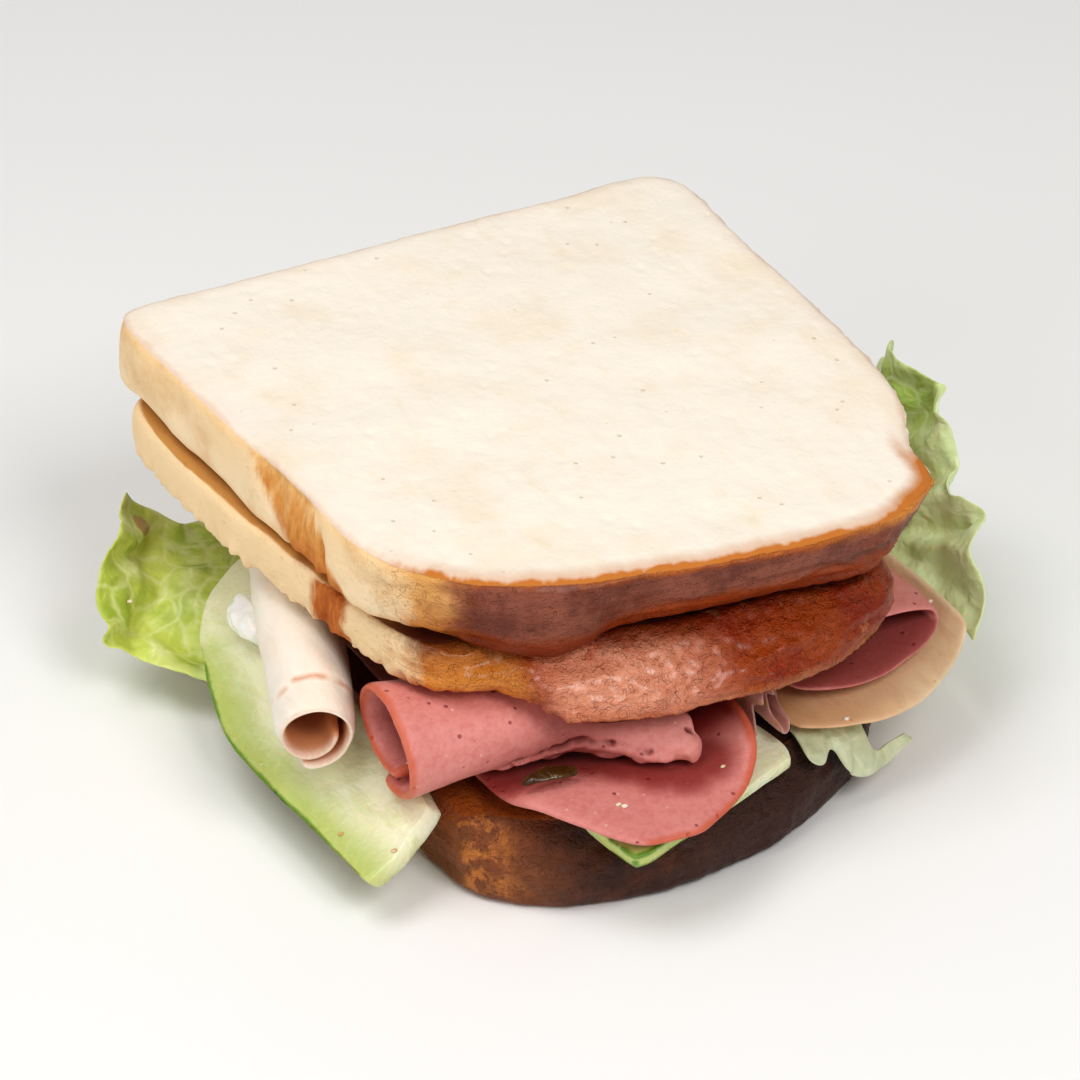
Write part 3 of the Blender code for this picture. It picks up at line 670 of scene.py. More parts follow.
class SANDWICH_OT_middle_slice(bpy.types.Operator):
    """Middle slice: shiny wrinkled lobes to the front and a ragged soft side, with painted sheen on the main
    lobe and painted shade under the top slice
    """

    bl_idname = "sandwich.middle_slice"
    bl_label = "Middle slice"

    def execute(self, context):
        bread = context.scene.sandwich_bread
        piece, points, normals, maps = fine_slice("bread_middle", "middle_slice", MIDDLE_GRAIN, LOWER_EDGE)
        front, left, down = maps["front"], maps["left"], maps["down"]
        crumb = 1.0 - maps["side"]
        crust = crust_height(points, down, MIDDLE_THICKNESS, bread.fold_height * 1.5, 51) * front
        teeth = layered_noise(points * np.array([600.0, 600.0, 200.0]), 57, 2) * 0.0009
        teeth = teeth * ease(down, 0.45, 0.95)
        height = crumb * crumb_height(points, bread.crumb_relief) + crust + teeth * left
        patch = left * ease(np.abs(points[:, 1] - PATCH_LOW_Y), 0.0075, 0.0010)
        move(piece, keep_in_box(points + normals * height[:, None]))
        paint(piece, **maps, patch=patch, low=np.ones(len(points)))
        return self.dress(piece, bread)

    def dress(self, piece, bread):
        look = Finish("Middle slice", roughness=0.5, Specular_IOR_Level=0.25, Coat_Roughness=0.26)
        parts = slice_parts(look, bread, (150.0, 3.0, 0.6), 0.006)
        crumb, crumb_bumps, grain, wobble, across, back = parts
        down = look.attribute("down") + wobble * 0.24
        front = look.attribute("front")
        glazed = look.mix(look.clouds(85.0, 0.40, 0.62, 5.0), bread.glazed, bread.baked)
        # Painted highlight: pale pink patches on the main lobe stand in for its sheen; wet only breaks these
        # patches up.
        sheen = look.fade(across, *SHEEN_START) * look.fade(across, *SHEEN_END)
        wet = look.noise(380.0, 5.0, 0.65, look.stretched((1.0, 1.0, 2.2), (0.0, 0.5, 0.0)), 0.5)
        wet = wet * 0.65 + look.noise(90.0, 3.0) * 0.35
        sheen = sheen * look.fade(wet, 0.36, 0.58)
        sheen = sheen * look.fade(down, 0.08, 0.28) * look.fade(down, 0.92, 0.66)
        glazed = look.mix(sheen * 0.85, glazed, "F0B89E")
        flakes = look.clouds(95.0, 0.60, 0.66, 5.0, 0.7) * look.fade(across, *FLAKES_START)
        glazed = look.mix(flakes * 0.5, glazed, "C98A5C")
        glazed = look.mix(look.fade(down, 0.78, 1.0) * 0.85, glazed, "C0702C")
        lobe = look.ramp(down, (0.0, "84400F"), (0.3, "CA7C2A"), (0.65, "E09034"), (1.0, "DA7E1C"))
        # Painted highlight: the main lobe is mixed toward a paler pink that stands in for its broad sheen;
        # the same mask also raises the coat.
        plump = look.fade(across, *PLUMP_START) * look.fade(across, *PLUMP_END)
        plump = plump * look.fade(down, 0.05, 0.3)
        glazed = look.mix(plump * 0.66, glazed, "DE8A66")
        glazed = look.mix(look.fade(across, *LOBES_MEET) * 0.9, glazed, lobe)
        # Painted shade: darker along the top of the crust, in the crease under the top slice.
        deep = look.fade(down, 0.30, 0.02)
        glazed = look.mix(deep * 0.55, glazed, "501602")
        soft = look.mix(look.clouds(110.0, 0.45, 0.7, 5.0) * 0.5, bread.pale_side, "EDD0A0")
        soft = look.torn_skin(soft, bread)
        turned = look.fade(across, *MIDDLE_CORNER)
        crust = look.mix(look.fade(front + wobble * 0.5, 0.10, 0.45) * turned, soft, glazed)
        # The rolled rim of the crumb face takes crust colour, dark brown at the front: partly crust, partly
        # painted shade of the crease under the top slice.
        rolled = look.fade(look.attribute("inset") + wobble * 0.004, 0.016, 0.012)
        face = look.mix(rolled, crumb, look.mix(look.fade(back, -0.030, -0.012), "5A2208", "C99352"))
        side = look.fade(look.attribute("side") + wobble * 0.35, 0.25, 0.55)
        colour = look.mix(side, face, crust)
        shine = side * look.fade(front, 0.3, 0.8)
        rough = 0.82 - shine * (0.46 + sheen * 0.08 + wobble * 0.3)
        height = crumb_bumps * (1.0 - side * front) * 0.5 + grain * side * (0.2 + front * 2.0)
        material = look.use(
            Base_Color=colour, Roughness=rough, Normal=look.relief(height, 0.0005),
            Coat_Weight=shine * (0.5 + plump * 0.3),
        )
        finish_piece(piece, material, "crust", "bread_middle")
        return {"FINISHED"}


class SANDWICH_OT_bottom_slice(bpy.types.Operator):
    """Bottom slice: near-black cragged crust"""

    bl_idname = "sandwich.bottom_slice"
    bl_label = "Bottom slice"

    def execute(self, context):
        bread = context.scene.sandwich_bread
        piece, points, normals, maps = fine_slice("bread_bottom", "bottom_slice", BOTTOM_GRAIN, LOWER_EDGE)
        down = maps["down"]
        crumb = 1.0 - maps["side"]
        crust = crust_height(points, down, BOTTOM_THICKNESS, bread.fold_height * 0.9, 71) * maps["side"]
        crags = layered_noise(points * 260.0, 77, 3) * 0.00028 * maps["side"]
        height = crumb * crumb_height(points, bread.crumb_relief) + crust + crags
        height *= ease(points[:, 2], 0.0002, 0.0015)
        move(piece, keep_in_box(points + normals * height[:, None]))
        paint(piece, **maps)
        return self.dress(piece, bread)

    def dress(self, piece, bread):
        look = Finish("Bottom slice", roughness=0.55, Specular_IOR_Level=0.2, Coat_Roughness=0.35)
        parts = slice_parts(look, bread, (170.0, 5.0, 0.65), 0.012)
        crumb, crumb_bumps, grain, wobble, across, _ = parts
        front = look.attribute("front")
        ruddy = look.mix(look.fade(across, -0.020, 0.016), "623828", "462C24")
        burnt = look.mix(look.clouds(120.0, 0.40, 0.66, 5.0, 0.65), bread.burnt, ruddy)
        burnt = look.mix(look.fade(across, -0.022, -0.038) * 0.6, burnt, "98582E")
        orange = look.clouds(260.0, 0.46, 0.58, 5.0, 0.7) * look.fade(across, -0.033, -0.0395)
        burnt = look.mix(orange * 0.85, burnt, "C67E3E")
        soft = look.mix(look.clouds(110.0, 0.45, 0.7, 5.0) * 0.5, "8A5430", bread.baked)
        crust = look.mix(look.fade(front + wobble * 0.4, 0.1, 0.6), soft, burnt)
        top_crust = look.mix(look.fade(across, -0.034, -0.005), "9A5420", "3A2018")
        rolled = look.fade(look.attribute("inset") + wobble * 0.004, 0.015, 0.012)
        side = look.fade(look.attribute("side") + rolled + wobble * 0.3, 0.25, 0.55)
        crust = look.mix(rolled * look.fade(look.attribute("side"), 0.5, 0.2), crust, top_crust)
        colour = look.mix(side, crumb, crust)
        bumps = look.relief(crumb_bumps * (1.0 - side) * 0.5 + grain * side * 1.3, 0.0006)
        material = look.use(
            Base_Color=colour, Roughness=0.85 - side * 0.36, Normal=bumps, Coat_Weight=side * 0.12,
        )
        finish_piece(piece, material, "dark_crust", "bread_bottom")
        return {"FINISHED"}


def crease_edges(piece, strength):
    """Keeps a solid's sharp edges crisp when it is subdivided."""
    mesh = piece.data
    normals = edge_normals(mesh)
    crease = mesh.attributes.new("crease_edge", "FLOAT", "EDGE")
    for edge in mesh.edges:
        pair = normals[edge.key]
        crease.data[edge.index].value = strength if pair[0].dot(pair[-1]) < 0.8 else 0.0


def sheet_copy(node, name, levels, wanted=lambda mark: True, grain=0.0, crease=0.0):
    """A thin slice or leaf as a fine mesh, with each point's distance from the wanted rim."""
    piece = solid_copy(node, name)
    marks = rim_marks(piece, wanted)
    if crease:
        crease_edges(piece, crease)
    subdivide(piece, levels)
    if grain:
        apply_modifier(piece, "REMESH", mode="VOXEL", voxel_size=grain, use_smooth_shade=True)
        apply_modifier(piece, "SMOOTH", factor=0.5, iterations=3)
    points = read(piece)
    return piece, points, distance_to(points, marks)


def waved_sheet(node, name, size, reach, seed, wanted=lambda mark: True, crease=0.0):
    """A thin slice made a little uneven, with its points and normals from before that."""
    piece, points, rim = sheet_copy(node, name, 3, wanted, crease=crease)
    normals = read(piece, "normal")
    move(piece, points + drift(points, size, reach, seed))
    paint(piece, rim=rim)
    return piece, points, normals, rim


def drift(points, size, reach, seed):
    """A push in all three directions that is the same on both faces of a thin sheet."""
    return reach * np.stack([layered_noise(points / size, seed + 7 * k, 2) for k in range(3)], axis=1)


def jagged_line(corners, wobble, seed, step=0.0003):
    """Places close together along a line through the corners that wanders to both sides."""
    corners = np.array(corners)
    along = np.concatenate([[0.0], np.cumsum(np.linalg.norm(np.diff(corners, axis=0), axis=1))])
    stations = np.arange(0.0, along[-1], step)
    line = np.stack([np.interp(stations, along, corners[:, k]) for k in range(3)], axis=1)
    return line + drift(line, 0.0013, wobble, seed)


def sausage_look(name, filling):
    """Moist pink sausage: fine mottle, small dark pits, pale fat dots, a casing at the rim, and painted shade
    in hollows and cracks.
    """
    look = Finish(
        name, roughness=0.42, Specular_IOR_Level=0.3, Subsurface_Weight=0.08, Subsurface_Scale=0.002,
    )
    mottle = look.clouds(700.0, 0.40, 0.66, 5.0, 0.7)
    colour = look.mix(mottle * 0.4, filling.mortadella, "C66A62")
    colour = look.mix(look.clouds(60.0, 0.45, 0.7, 3.0, 0.55) * 0.35, colour, "E8A296")
    dots = look.spots(420.0, 0.20, 0.40)
    colour = look.mix(dots * 0.75, colour, "93353A")
    fat = look.spots(480.0, 0.17, 0.25)
    colour = look.mix(fat * 0.5, colour, "F2C9BE")
    edge = look.attribute("rim") + (look.noise(300.0, 3.0) - 0.5) * 0.0006
    casing = look.fade(edge, 0.0018, 0.0006)
    colour = look.mix(casing * 0.85, colour, filling.casing)
    # Painted shade: the deep map darkens the red inside the roll's mouth, under the overhangs, in the scoop
    # and in the fold.
    colour = look.mix(look.attribute("deep"), colour, "8A2622")
    # Painted shade: the crack map darkens the tear's groove and the cracks at the flap's end.
    crack = look.attribute("crack")
    colour = look.mix(crack * 0.9, colour, "6A1012")
    height = look.noise(1300.0, 4.0, 0.6) * 0.5 - dots * 0.8 + look.noise(160.0, 3.0) * 0.6
    bumps = look.relief(height, 0.00022)
    rough = 0.46 - casing * 0.12 + (look.noise(240.0, 3.0) - 0.5) * 0.25
    return look.use(Base_Color=colour, Roughness=rough, Normal=bumps)


class SANDWICH_OT_mortadella(bpy.types.Operator):
    """Mortadella: the torn roll, the scoop and the fold at the right"""

    bl_idname = "sandwich.mortadella"
    bl_label = "Mortadella"

    def execute(self, context):
        filling = context.scene.sandwich_filling
        material = sausage_look("Mortadella", filling)
        self.add_roll(material)
        scoop_rim = lambda mark: mark.x > -0.02 and mark.y < 0.03
        self.add("mortadella_scoop", "scooped_mortadella", material, scoop_rim, self.scoop_depth, 111)
        no_rim = lambda mark: False
        self.add("mortadella_fold", "folded_mortadella", material, no_rim, self.fold_depth, 121)
        return {"FINISHED"}

    def scoop_depth(self, points, normals):
        """Painted shade: a little darker red all over the scoop, more toward its back and under the roll's
        flap.
        """
        roll = read(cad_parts["mortadella_roll"])
        sheltered = ease(distance_to(points, roll[roll[:, 1] < -0.040]), 0.0085, 0.003)
        inward = ease(points[:, 1], -0.059, -0.049) * ease(points[:, 0], -0.030, -0.010)
        return np.maximum(0.10, np.maximum(0.85 * sheltered, 0.95 * inward))

    def fold_depth(self, points, normals):
        """Painted shade: darker red on the faces that look into the fold."""
        return 0.7 * ease(-normals[:, 2] * np.sign(points[:, 2] - FOLD_MIDDLE), 0.2, 0.8)

    def add_roll(self, material):
        piece, points, rim = sheet_copy(
            "mortadella_roll", "rolled_mortadella", 2,
            lambda mark: mark.x < -0.046 or (mark.x > -0.030 and mark.y < -0.040), grain=ROLL_GRAIN,
        )
        at_mouth = points[:, 0] < -0.040
        ragged = np.where(at_mouth, 0.0, ease(rim, 0.0026, 0.0004))
        torn = drift(points, 0.0032, 0.0011, 103) * ragged[:, None]
        points = points + drift(points, 0.009, 0.0003, 101) + torn
        places, gap = nearest(points, jagged_line(TEAR_LINE, 0.0007, 107))
        below = places[:, 2] - points[:, 2]
        groove = ease(gap, 0.0008, 0.0002)
        ridge = ease(below, 0.0001, 0.0006) * ease(gap, 0.0026, 0.0010)
        cracks = ease(distance_to(points, jagged_line(END_CRACK, 0.0005, 109)), 0.0007, 0.0002)
        push = ridge * 0.0006 - np.maximum(groove, cracks) * 0.0007
        move(piece, points + read(piece, "normal") * push[:, None])
        inward = (points - ROLL_MOUTH) @ ROLL_AXIS
        spread = points - ROLL_MOUTH - np.outer(inward, ROLL_AXIS)
        facing = (read(piece, "normal") * spread).sum(axis=1) / np.linalg.norm(spread, axis=1)
        # The crack map also darkens these grooves in the colour: painted shade.
        paint(piece, rim=np.where(at_mouth, rim, 1.0), crack=np.maximum(groove, cracks))
        # Painted shade: darker red on the inner face of the roll's mouth and where the middle slice overhangs
        # the roll.
        mouth = ease(-facing, 0.1, 0.7) * ease(inward, 0.0010, 0.0080)
        covered = ease(points[:, 1], -0.052, -0.044) * ease(points[:, 0], -0.032, -0.016)
        paint(piece, deep=np.maximum(0.8 * mouth, 0.6 * covered))
        finish_piece(piece, material, "mortadella", "mortadella_roll")

    def add(self, node, name, material, wanted, depth, seed):
        piece, points, normals, _ = waved_sheet(node, name, 0.009, 0.0002, seed, wanted)
        # The deep map that this paints is painted shade.
        paint(piece, deep=depth(points, normals))
        finish_piece(piece, material, "mortadella", node)


def turkey_look(name, pale, shade, edge_colour):
    """Moist turkey breast with faint fibres, a roasted edge, and a tan map of roasted lines and painted
    shade.
    """
    look = Finish(name, roughness=0.45, Subsurface_Weight=0.12, Subsurface_Scale=0.002)
    fibres = look.noise(300.0, 4.0, 0.6, look.stretched((1.0, 0.3, 1.0), (0.0, 0.0, 0.4)))
    colour = look.mix(look.fade(fibres, 0.42, 0.7) * 0.4, pale, shade)
    colour = look.mix(look.spots(260.0, 0.12, 0.12) * 0.5, colour, "B98C62")
    edge = look.attribute("rim") + (look.noise(260.0, 3.0) - 0.5) * 0.0012
    roasted = look.fade(edge, 0.0014, 0.0003)
    colour = look.mix(roasted * 0.45, colour, edge_colour)
    # The tan map: roasted lines at the roll's step, and painted shade inside the roll's mouth and at the
    # sleeve's tucked left end.
    colour = look.mix(look.attribute("tan") * 0.85, colour, "D0803E")
    bumps = look.relief(fibres * 0.8 + look.noise(1200.0, 3.0) * 0.4, 0.00025)
    return look.use(Base_Color=colour, Roughness=0.48 + (fibres - 0.5) * 0.2, Normal=bumps)


class SANDWICH_OT_turkey(bpy.types.Operator):
    """Turkey breast: the roll at the left and the sleeve at the right"""

    bl_idname = "sandwich.turkey"
    bl_label = "Turkey"

    def execute(self, context):
        filling = context.scene.sandwich_filling
        self.add_roll(turkey_look("Turkey roll", filling.turkey, "EFDBC4", filling.turkey_edge))
        # The sleeve's tanner colours are partly its own tint, partly painted shade.
        self.add_sleeve(turkey_look("Turkey sleeve", filling.sleeve, "CFA679", "F0DDBE"))
        return {"FINISHED"}

    def add_roll(self, material):
        piece, points, rim = sheet_copy("turkey_roll", "rolled_turkey", 3)
        from_mouth = points - TURKEY_MOUTH
        along = from_mouth @ TURKEY_AXIS
        radius = np.linalg.norm(from_mouth - np.outer(along, TURKEY_AXIS), axis=1)
        inner = ease(radius, 0.0066, 0.0058)
        step = along - TURKEY_STEP - 0.0008 * smooth_noise(points / 0.004, 133)
        outer = ease(radius, 0.0066, 0.0072) * ease(points[:, 2], 0.028, 0.032)
        line = outer * ease(np.abs(step), 0.0005, 0.0001)
        push = -0.0004 * outer * ease(step, 0.0002, -0.0002)
        normals = read(piece, "normal")
        move(piece, points + drift(points, 0.008, 0.00025, 131) + normals * push[:, None])
        # Painted shade: tan on the inner face near the roll's mouth.
        inside = inner * ease(along, 0.030, 0.010) * ease(along, -0.001, 0.003)
        paint(piece, rim=rim, tan=np.maximum(inside, line * 0.8))
        finish_piece(piece, material, "turkey", "turkey_roll")

    def add_sleeve(self, material):
        piece, points, _, rim = waved_sheet("turkey_sleeve", "sleeve_turkey", 0.008, 0.00025, 141)
        # Painted shade: tan toward the rims of the sleeve's left end, where it tucks under the fold.
        paint(piece, tan=0.5 * ease(rim, 0.012, 0.002) * ease(points[:, 0], 0.050, 0.030))
        finish_piece(piece, material, "turkey", "turkey_sleeve")


class SANDWICH_OT_ham(bpy.types.Operator):
    """Ham: thin wet pleats between the mortadella folds"""

    bl_idname = "sandwich.ham"
    bl_label = "Ham"

    def execute(self, context):
        filling = context.scene.sandwich_filling
        piece = waved_sheet("ham_fold", "pleated_ham", 0.006, 0.0002, 151)[0]
        look = Finish("Ham", roughness=0.3, Subsurface_Weight=0.25, Subsurface_Scale=0.002)
        streaks = look.noise(260.0, 4.0, 0.6, look.stretched((1.0, 0.4, 1.4)))
        colour = look.mix(look.fade(streaks, 0.4, 0.65), filling.ham, "B98A80")
        colour = look.mix(look.clouds(330.0, 0.58, 0.66, 3.0, 0.55) * 0.6, colour, "B9A060")
        bumps = look.relief(streaks, 0.0003)
        material = look.use(Base_Color=colour, Normal=bumps)
        finish_piece(piece, material, "ham", "ham_fold")
        return {"FINISHED"}


def leaf_look(name, leaf, shade, vein, size):
    """Crinkled leaf: pale branching veins between puckered green fields, and a painted highlight on the
    raised crests.
    """
    look = Finish(name, roughness=0.42, Subsurface_Weight=0.1, Subsurface_Scale=0.002)
    warped = look.node("ShaderNodeVectorMath", {"operation": "ADD"}, {
        0: look.place,
        1: look.node("ShaderNodeVectorMath", {"operation": "SCALE"}, {
            0: look.noise(90.0, 3.0).beside("Color"), "Scale": 0.008,
        }),
    })
    wide = look.cell_edges(1.0 / size, warped)
    fine = look.cell_edges(3.2 / size, warped)
    ribs = look.fade(wide, 0.12, 0.0)
    patches = look.clouds(75.0, 0.40, 0.66)
    colour = look.mix(patches * 0.8, leaf, shade)
    # Painted highlight: the lift map pales the raised crests toward the vein colour.
    colour = look.mix(look.fade(look.attribute("lift"), 0.3, 1.0) * 0.6, colour, vein)
    colour = look.mix(ribs * 0.45, colour, vein)
    rim = look.fade(look.attribute("rim"), 0.0022, 0.0)
    colour = look.mix(rim * 0.5, colour, leaf)
    rust = look.fade(look.attribute("rust") * (0.6 + look.noise(300.0, 3.0)), 0.5, 0.9)
    colour = look.mix(rust * 0.8, colour, "B98A5A")
    height = look.fade(wide, 0.0, 0.5) + look.fade(fine, 0.0, 0.4) * 0.2
    bumps = look.relief(height, 0.00032)
    return look.use(Base_Color=colour, Roughness=0.36 + patches * 0.2, Normal=bumps)


class SANDWICH_OT_lettuce(bpy.types.Operator):
    """Lettuce: the bright leaf, the frilly leaf and the pale inner leaf"""

    bl_idname = "sandwich.lettuce"
    bl_label = "Lettuce"

    def execute(self, context):
        filling = context.scene.sandwich_filling
        bright = leaf_look("Bright leaf", filling.leaf, filling.leaf_shade, filling.vein, 0.0065)
        frilly = leaf_look("Frilly leaf", filling.right_leaf, "A8C75E", "E6F4CC", 0.0062)
        pale = leaf_look("Pale leaf", filling.pale_leaf, "97A66E", "E4E6C8", 0.0060)
        left, right, front = (lambda p: p.x < -0.05), (lambda p: p.x > 0.062), (lambda p: p.y < -0.052)
        self.add("lettuce_left", "left_leaf", bright, "lettuce", left, filling.frill, 161)
        self.add("lettuce_right", "right_leaf", frilly, "lettuce_dark", right, filling.frill, 171)
        self.add("lettuce_pale", "pale_leaf", pale, "lettuce_pale", front, 0.0004, 181)
        return {"FINISHED"}

    def add(self, node, name, material, slot, wanted, frill, seed):
        piece, points, rim = sheet_copy(node, name, 3, wanted)
        near = ease(rim, 0.026, 0.004)
        folds = drift(points, 0.0085, frill, seed)
        push = folds * near[:, None] + drift(points, 0.0026, frill * 0.10, seed + 3)
        move(piece, keep_in_box(points + push))
        # The lift map is a painted highlight on the crests of the frills; on the right leaf it also pales the
        # front.
        pale = 0.95 * ease(points[:, 0], 0.056, 0.062) * ease(points[:, 1], 0.012, -0.030)
        lift = np.maximum(near * ease(folds[:, 2] / frill, -0.2, 1.2), pale)
        rust = ease(np.linalg.norm(points - RUST_SPOT, axis=1), 0.004, 0.001)
        paint(piece, rim=rim, lift=lift, rust=rust)
        finish_piece(piece, material, slot, node)


class SANDWICH_OT_cucumber(bpy.types.Operator):
    """Cucumber: two wet slabs with a green skin along one edge"""

    bl_idname = "sandwich.cucumber"
    bl_label = "Cucumber"

    def execute(self, context):
        filling = context.scene.sandwich_filling
        look = Finish("Cucumber", roughness=0.25, Subsurface_Weight=0.3, Subsurface_Scale=0.004)
        clouds = look.clouds(110.0, 0.4, 0.68)
        colour = look.mix(clouds * 0.6, filling.flesh, "F4F2DC")
        strands = look.clouds(150.0, 0.5, 0.68, place=look.stretched((1.0, 0.3, 1.0)))
        colour = look.mix(strands * 0.4, colour, "C3CF7C")
        edge = look.attribute("rim") + (look.noise(220.0, 3.0) - 0.5) * 0.001
        green = look.fade(edge, 0.0092, 0.0012)
        colour = look.mix(green * 0.8, colour, "B2C452")
        skin = look.fade(edge, 0.0010, 0.0003)
        colour = look.mix(skin, colour, filling.skin)
        bumps = look.relief(look.noise(500.0, 4.0, 0.6) + strands * 0.4, 0.00035)
        material = look.use(Base_Color=colour, Roughness=0.24 + clouds * 0.14, Normal=bumps)
        slabs = (
            ("cucumber_left", "left_cucumber", 191, lambda mark: mark.x < -0.0575 and -0.04 < mark.y < 0.036),
            ("cucumber_front", "front_cucumber", 201, lambda mark: mark.y < -0.0635),
        )
        for node, name, seed, wanted in slabs:
            piece = waved_sheet(node, name, 0.005, 0.00018, seed, wanted, crease=0.7)[0]
            finish_piece(piece, material, "cucumber", node)
        return {"FINISHED"}


class SANDWICH_OT_pickle(bpy.types.Operator):
    """Pickle: a wet olive-brown strip"""

    bl_idname = "sandwich.pickle"
    bl_label = "Pickle"

    def execute(self, context):
        filling = context.scene.sandwich_filling
        piece = waved_sheet("pickle_strip", "pickle", 0.003, 0.0002, 211)[0]
        look = Finish("Pickle", roughness=0.22)
        streaks = look.clouds(260.0, 0.4, 0.65, 4.0, 0.55)
        colour = look.mix(streaks * 0.7, filling.pickle, "624A16")
        material = look.use(Base_Color=colour, Normal=look.relief(look.noise(700.0, 3.0), 0.0003))
        finish_piece(piece, material, "pickle", "pickle_strip")
        return {"FINISHED"}


class SANDWICH_OT_mayonnaise(bpy.types.Operator):
    """Mayonnaise: a glossy white dab between the cucumber and the turkey"""

    bl_idname = "sandwich.mayonnaise"
    bl_label = "Mayonnaise"

    def execute(self, context):
        filling = context.scene.sandwich_filling
        activate(None)
        bpy.ops.mesh.primitive_ico_sphere_add(subdivisions=5, radius=1.0)
        piece = context.object
        piece.name = "mayonnaise"
        points = read(piece)
        lumps = 1.0 + 0.22 * smooth_noise(points * 1.3, 221) + 0.08 * smooth_noise(points * 3.1, 223)
        move(piece, points * lumps[:, None] * np.array(MAYONNAISE_SIZE) + np.array(MAYONNAISE_PLACE))
        look = Finish("Mayonnaise", roughness=0.25, Subsurface_Weight=0.3, Subsurface_Scale=0.003)
        swirl = look.clouds(260.0, 0.4, 0.7, 3.0, 0.55)
        colour = look.mix(swirl * 0.4, filling.sauce, "F8F2E4")
        material = look.use(Base_Color=colour, Normal=look.relief(look.noise(300.0, 3.0), 0.0004))
        finish_piece(piece, material, "mayonnaise")
        return {"FINISHED"}


class SANDWICH_OT_crumbs(bpy.types.Operator):
    """Crumbs: small bits of bread that fell on the filling and the crust"""

    bl_idname = "sandwich.crumbs"
    bl_label = "Crumbs"

    def execute(self, context):
        bread = context.scene.sandwich_bread
        graph = context.evaluated_depsgraph_get()
        parts = []
        for i, (x, y) in enumerate(CRUMB_PLACES):
            above = Vector((x, y, CRUMB_DROP))
            hit, place, normal = context.scene.ray_cast(graph, above, Vector((0.0, 0.0, -1.0)))[:3]
            if not hit:
                raise RuntimeError(f"nothing lies below crumb {i}")
            activate(None)
            bpy.ops.mesh.primitive_ico_sphere_add(subdivisions=2, radius=1.0)
            crumb = context.object
            points = read(crumb)
            lumps = 1.0 + 0.35 * smooth_noise(points * 1.7 + 9.0 * i, 231)
            longest = 0.00025 + 0.0004 * float(chance(np.array([i, 0, 0]), 233))
            size = np.array((1.0, 0.7, 0.5)) * longest
            seat = np.array(place) + np.array(normal) * size[2] * 0.5
            move(crumb, points * lumps[:, None] * size + seat)
            parts.append(crumb)
        for crumb in parts:
            crumb.select_set(True)
        bpy.ops.object.join()
        piece = context.object
        piece.name = "crumbs"
        look = Finish("Crumbs", roughness=0.8)
        colour = look.mix(look.clouds(300.0, 0.4, 0.65, 3.0, 0.55), bread.crumb, "D9A866")
        material = look.use(Base_Color=colour, Normal=look.relief(look.noise(2500.0, 3.0), 0.0001))
        finish_piece(piece, material, "crumb")
        return {"FINISHED"}


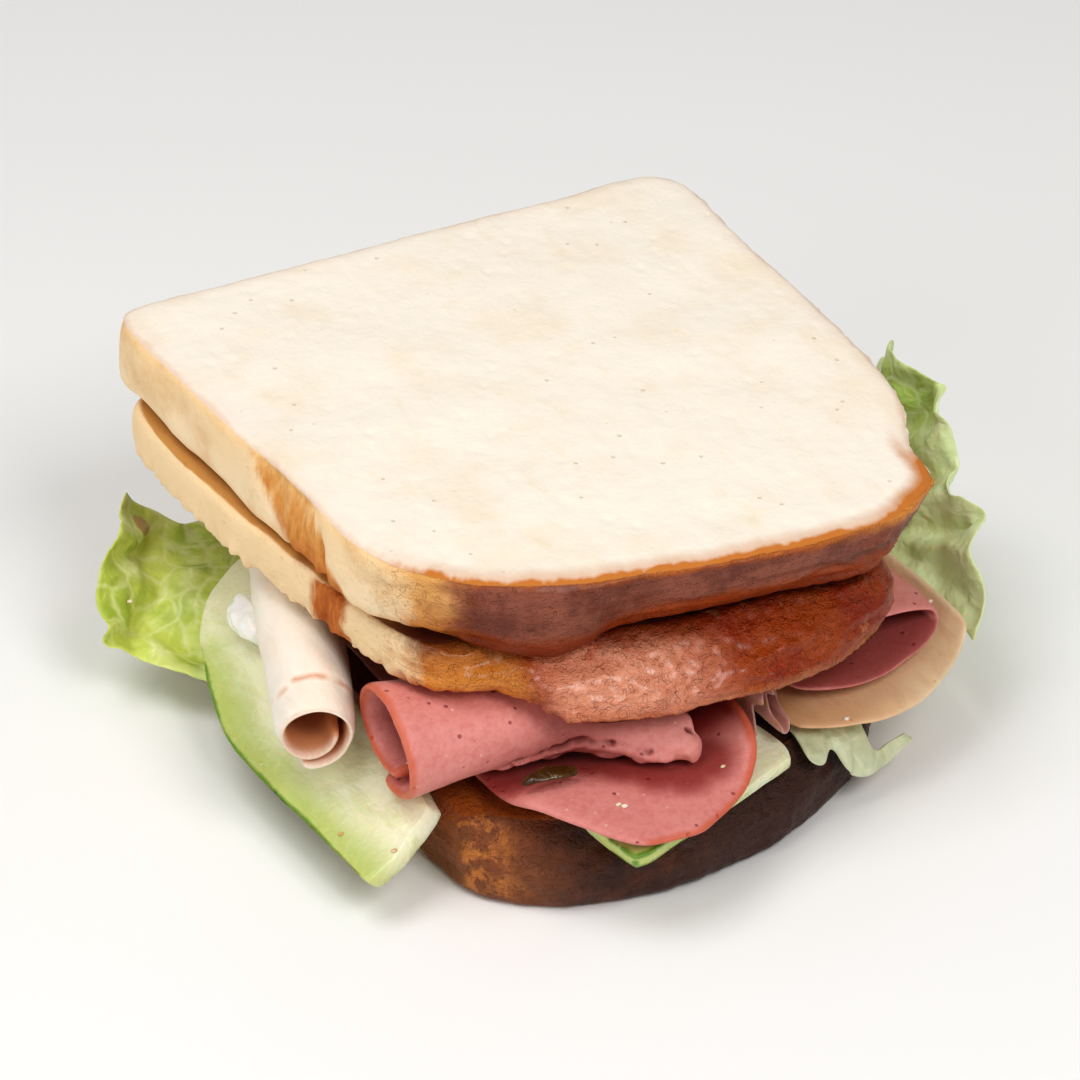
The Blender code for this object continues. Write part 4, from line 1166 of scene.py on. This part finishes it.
class SANDWICH_OT_stage(bpy.types.Operator):
    """Floor, soft lights and the camera"""

    bl_idname = "sandwich.stage"
    bl_label = "Stage"

    def execute(self, context):
        stage = context.scene.sandwich_stage
        context.scene.view_settings.view_transform = "Standard"
        context.scene.view_settings.look = "Medium High Contrast"
        self.add_floor(stage)
        self.add_lights(stage)
        self.add_camera(context, stage)
        return {"FINISHED"}

    def add_floor(self, stage):
        activate(None)
        bpy.ops.mesh.primitive_plane_add(size=6.0, location=(0.0, 0.0, 0.0))
        floor = bpy.context.object
        floor.name = "floor"
        look = Finish("Floor", roughness=0.6)
        worn = [0.97 * share for share in stage.floor]
        floor.data.materials.append(look.use(Base_Color=look.mix(look.noise(3.0), stage.floor, worn)))

    def add_lights(self, stage):
        world = bpy.data.worlds.new("Studio")
        world.use_nodes = True
        background = world.node_tree.nodes["Background"]
        background.inputs["Color"].default_value = (1.0, 1.0, 1.0, 1.0)
        background.inputs["Strength"].default_value = ROUND_LIGHT
        bpy.context.scene.world = world
        for name, place, size, share in LAMPS:
            lamp = bpy.data.lights.new(name, "AREA")
            lamp.energy = stage.key_power * share
            lamp.size = size
            holder = bpy.data.objects.new(name, lamp)
            holder.location = place
            aim = LAMP_AIM - Vector(place)
            holder.rotation_euler = aim.to_track_quat("-Z", "Y").to_euler()
            bpy.context.scene.collection.objects.link(holder)

    def add_camera(self, context, stage):
        eye = bpy.data.cameras.new("camera")
        eye.lens = stage.lens
        eye.sensor_width = 36.0
        holder = bpy.data.objects.new("camera", eye)
        level = math.cos(CAMERA_RISE)
        left, near = math.sin(CAMERA_TURN) * level, -math.cos(CAMERA_TURN) * level
        back = Vector((left, near, math.sin(CAMERA_RISE)))
        holder.location = CAMERA_AIM + back * CAMERA_DISTANCE
        holder.rotation_euler = (-back).to_track_quat("-Z", "Y").to_euler()
        context.scene.collection.objects.link(holder)
        context.scene.camera = holder


PIECE_OPERATORS = (
    SANDWICH_OT_top_slice,
    SANDWICH_OT_middle_slice,
    SANDWICH_OT_bottom_slice,
    SANDWICH_OT_mortadella,
    SANDWICH_OT_turkey,
    SANDWICH_OT_ham,
    SANDWICH_OT_lettuce,
    SANDWICH_OT_cucumber,
    SANDWICH_OT_pickle,
    SANDWICH_OT_mayonnaise,
    SANDWICH_OT_crumbs,
    SANDWICH_OT_stage,
)


class SANDWICH_PT_panel(bpy.types.Panel):
    """Lists the sandwich's pieces and their settings"""

    bl_label = "Sandwich"
    bl_idname = "SANDWICH_PT_panel"
    bl_space_type = "VIEW_3D"
    bl_region_type = "UI"
    bl_category = "Sandwich"

    def draw(self, context):
        layout = self.layout
        for group in ("sandwich_bread", "sandwich_filling", "sandwich_stage"):
            settings = getattr(context.scene, group)
            box = layout.box()
            for name in settings.__annotations__:
                box.prop(settings, name)
        for operator in PIECE_OPERATORS:
            layout.operator(operator.bl_idname)


SETTINGS = {
    "sandwich_bread": BreadSettings,
    "sandwich_filling": FillingSettings,
    "sandwich_stage": StageSettings,
}


def register():
    for kind in (*SETTINGS.values(), *PIECE_OPERATORS, SANDWICH_PT_panel):
        bpy.utils.register_class(kind)
    for name, kind in SETTINGS.items():
        setattr(bpy.types.Scene, name, bpy.props.PointerProperty(type=kind))


def unregister():
    for name in SETTINGS:
        delattr(bpy.types.Scene, name)
    for kind in reversed((*SETTINGS.values(), *PIECE_OPERATORS, SANDWICH_PT_panel)):
        bpy.utils.unregister_class(kind)


def main():
    register()
    activate(None)
    for operator in PIECE_OPERATORS:
        group, name = operator.bl_idname.split(".")
        getattr(getattr(bpy.ops, group), name)()


if __name__ == "__main__":
    main()
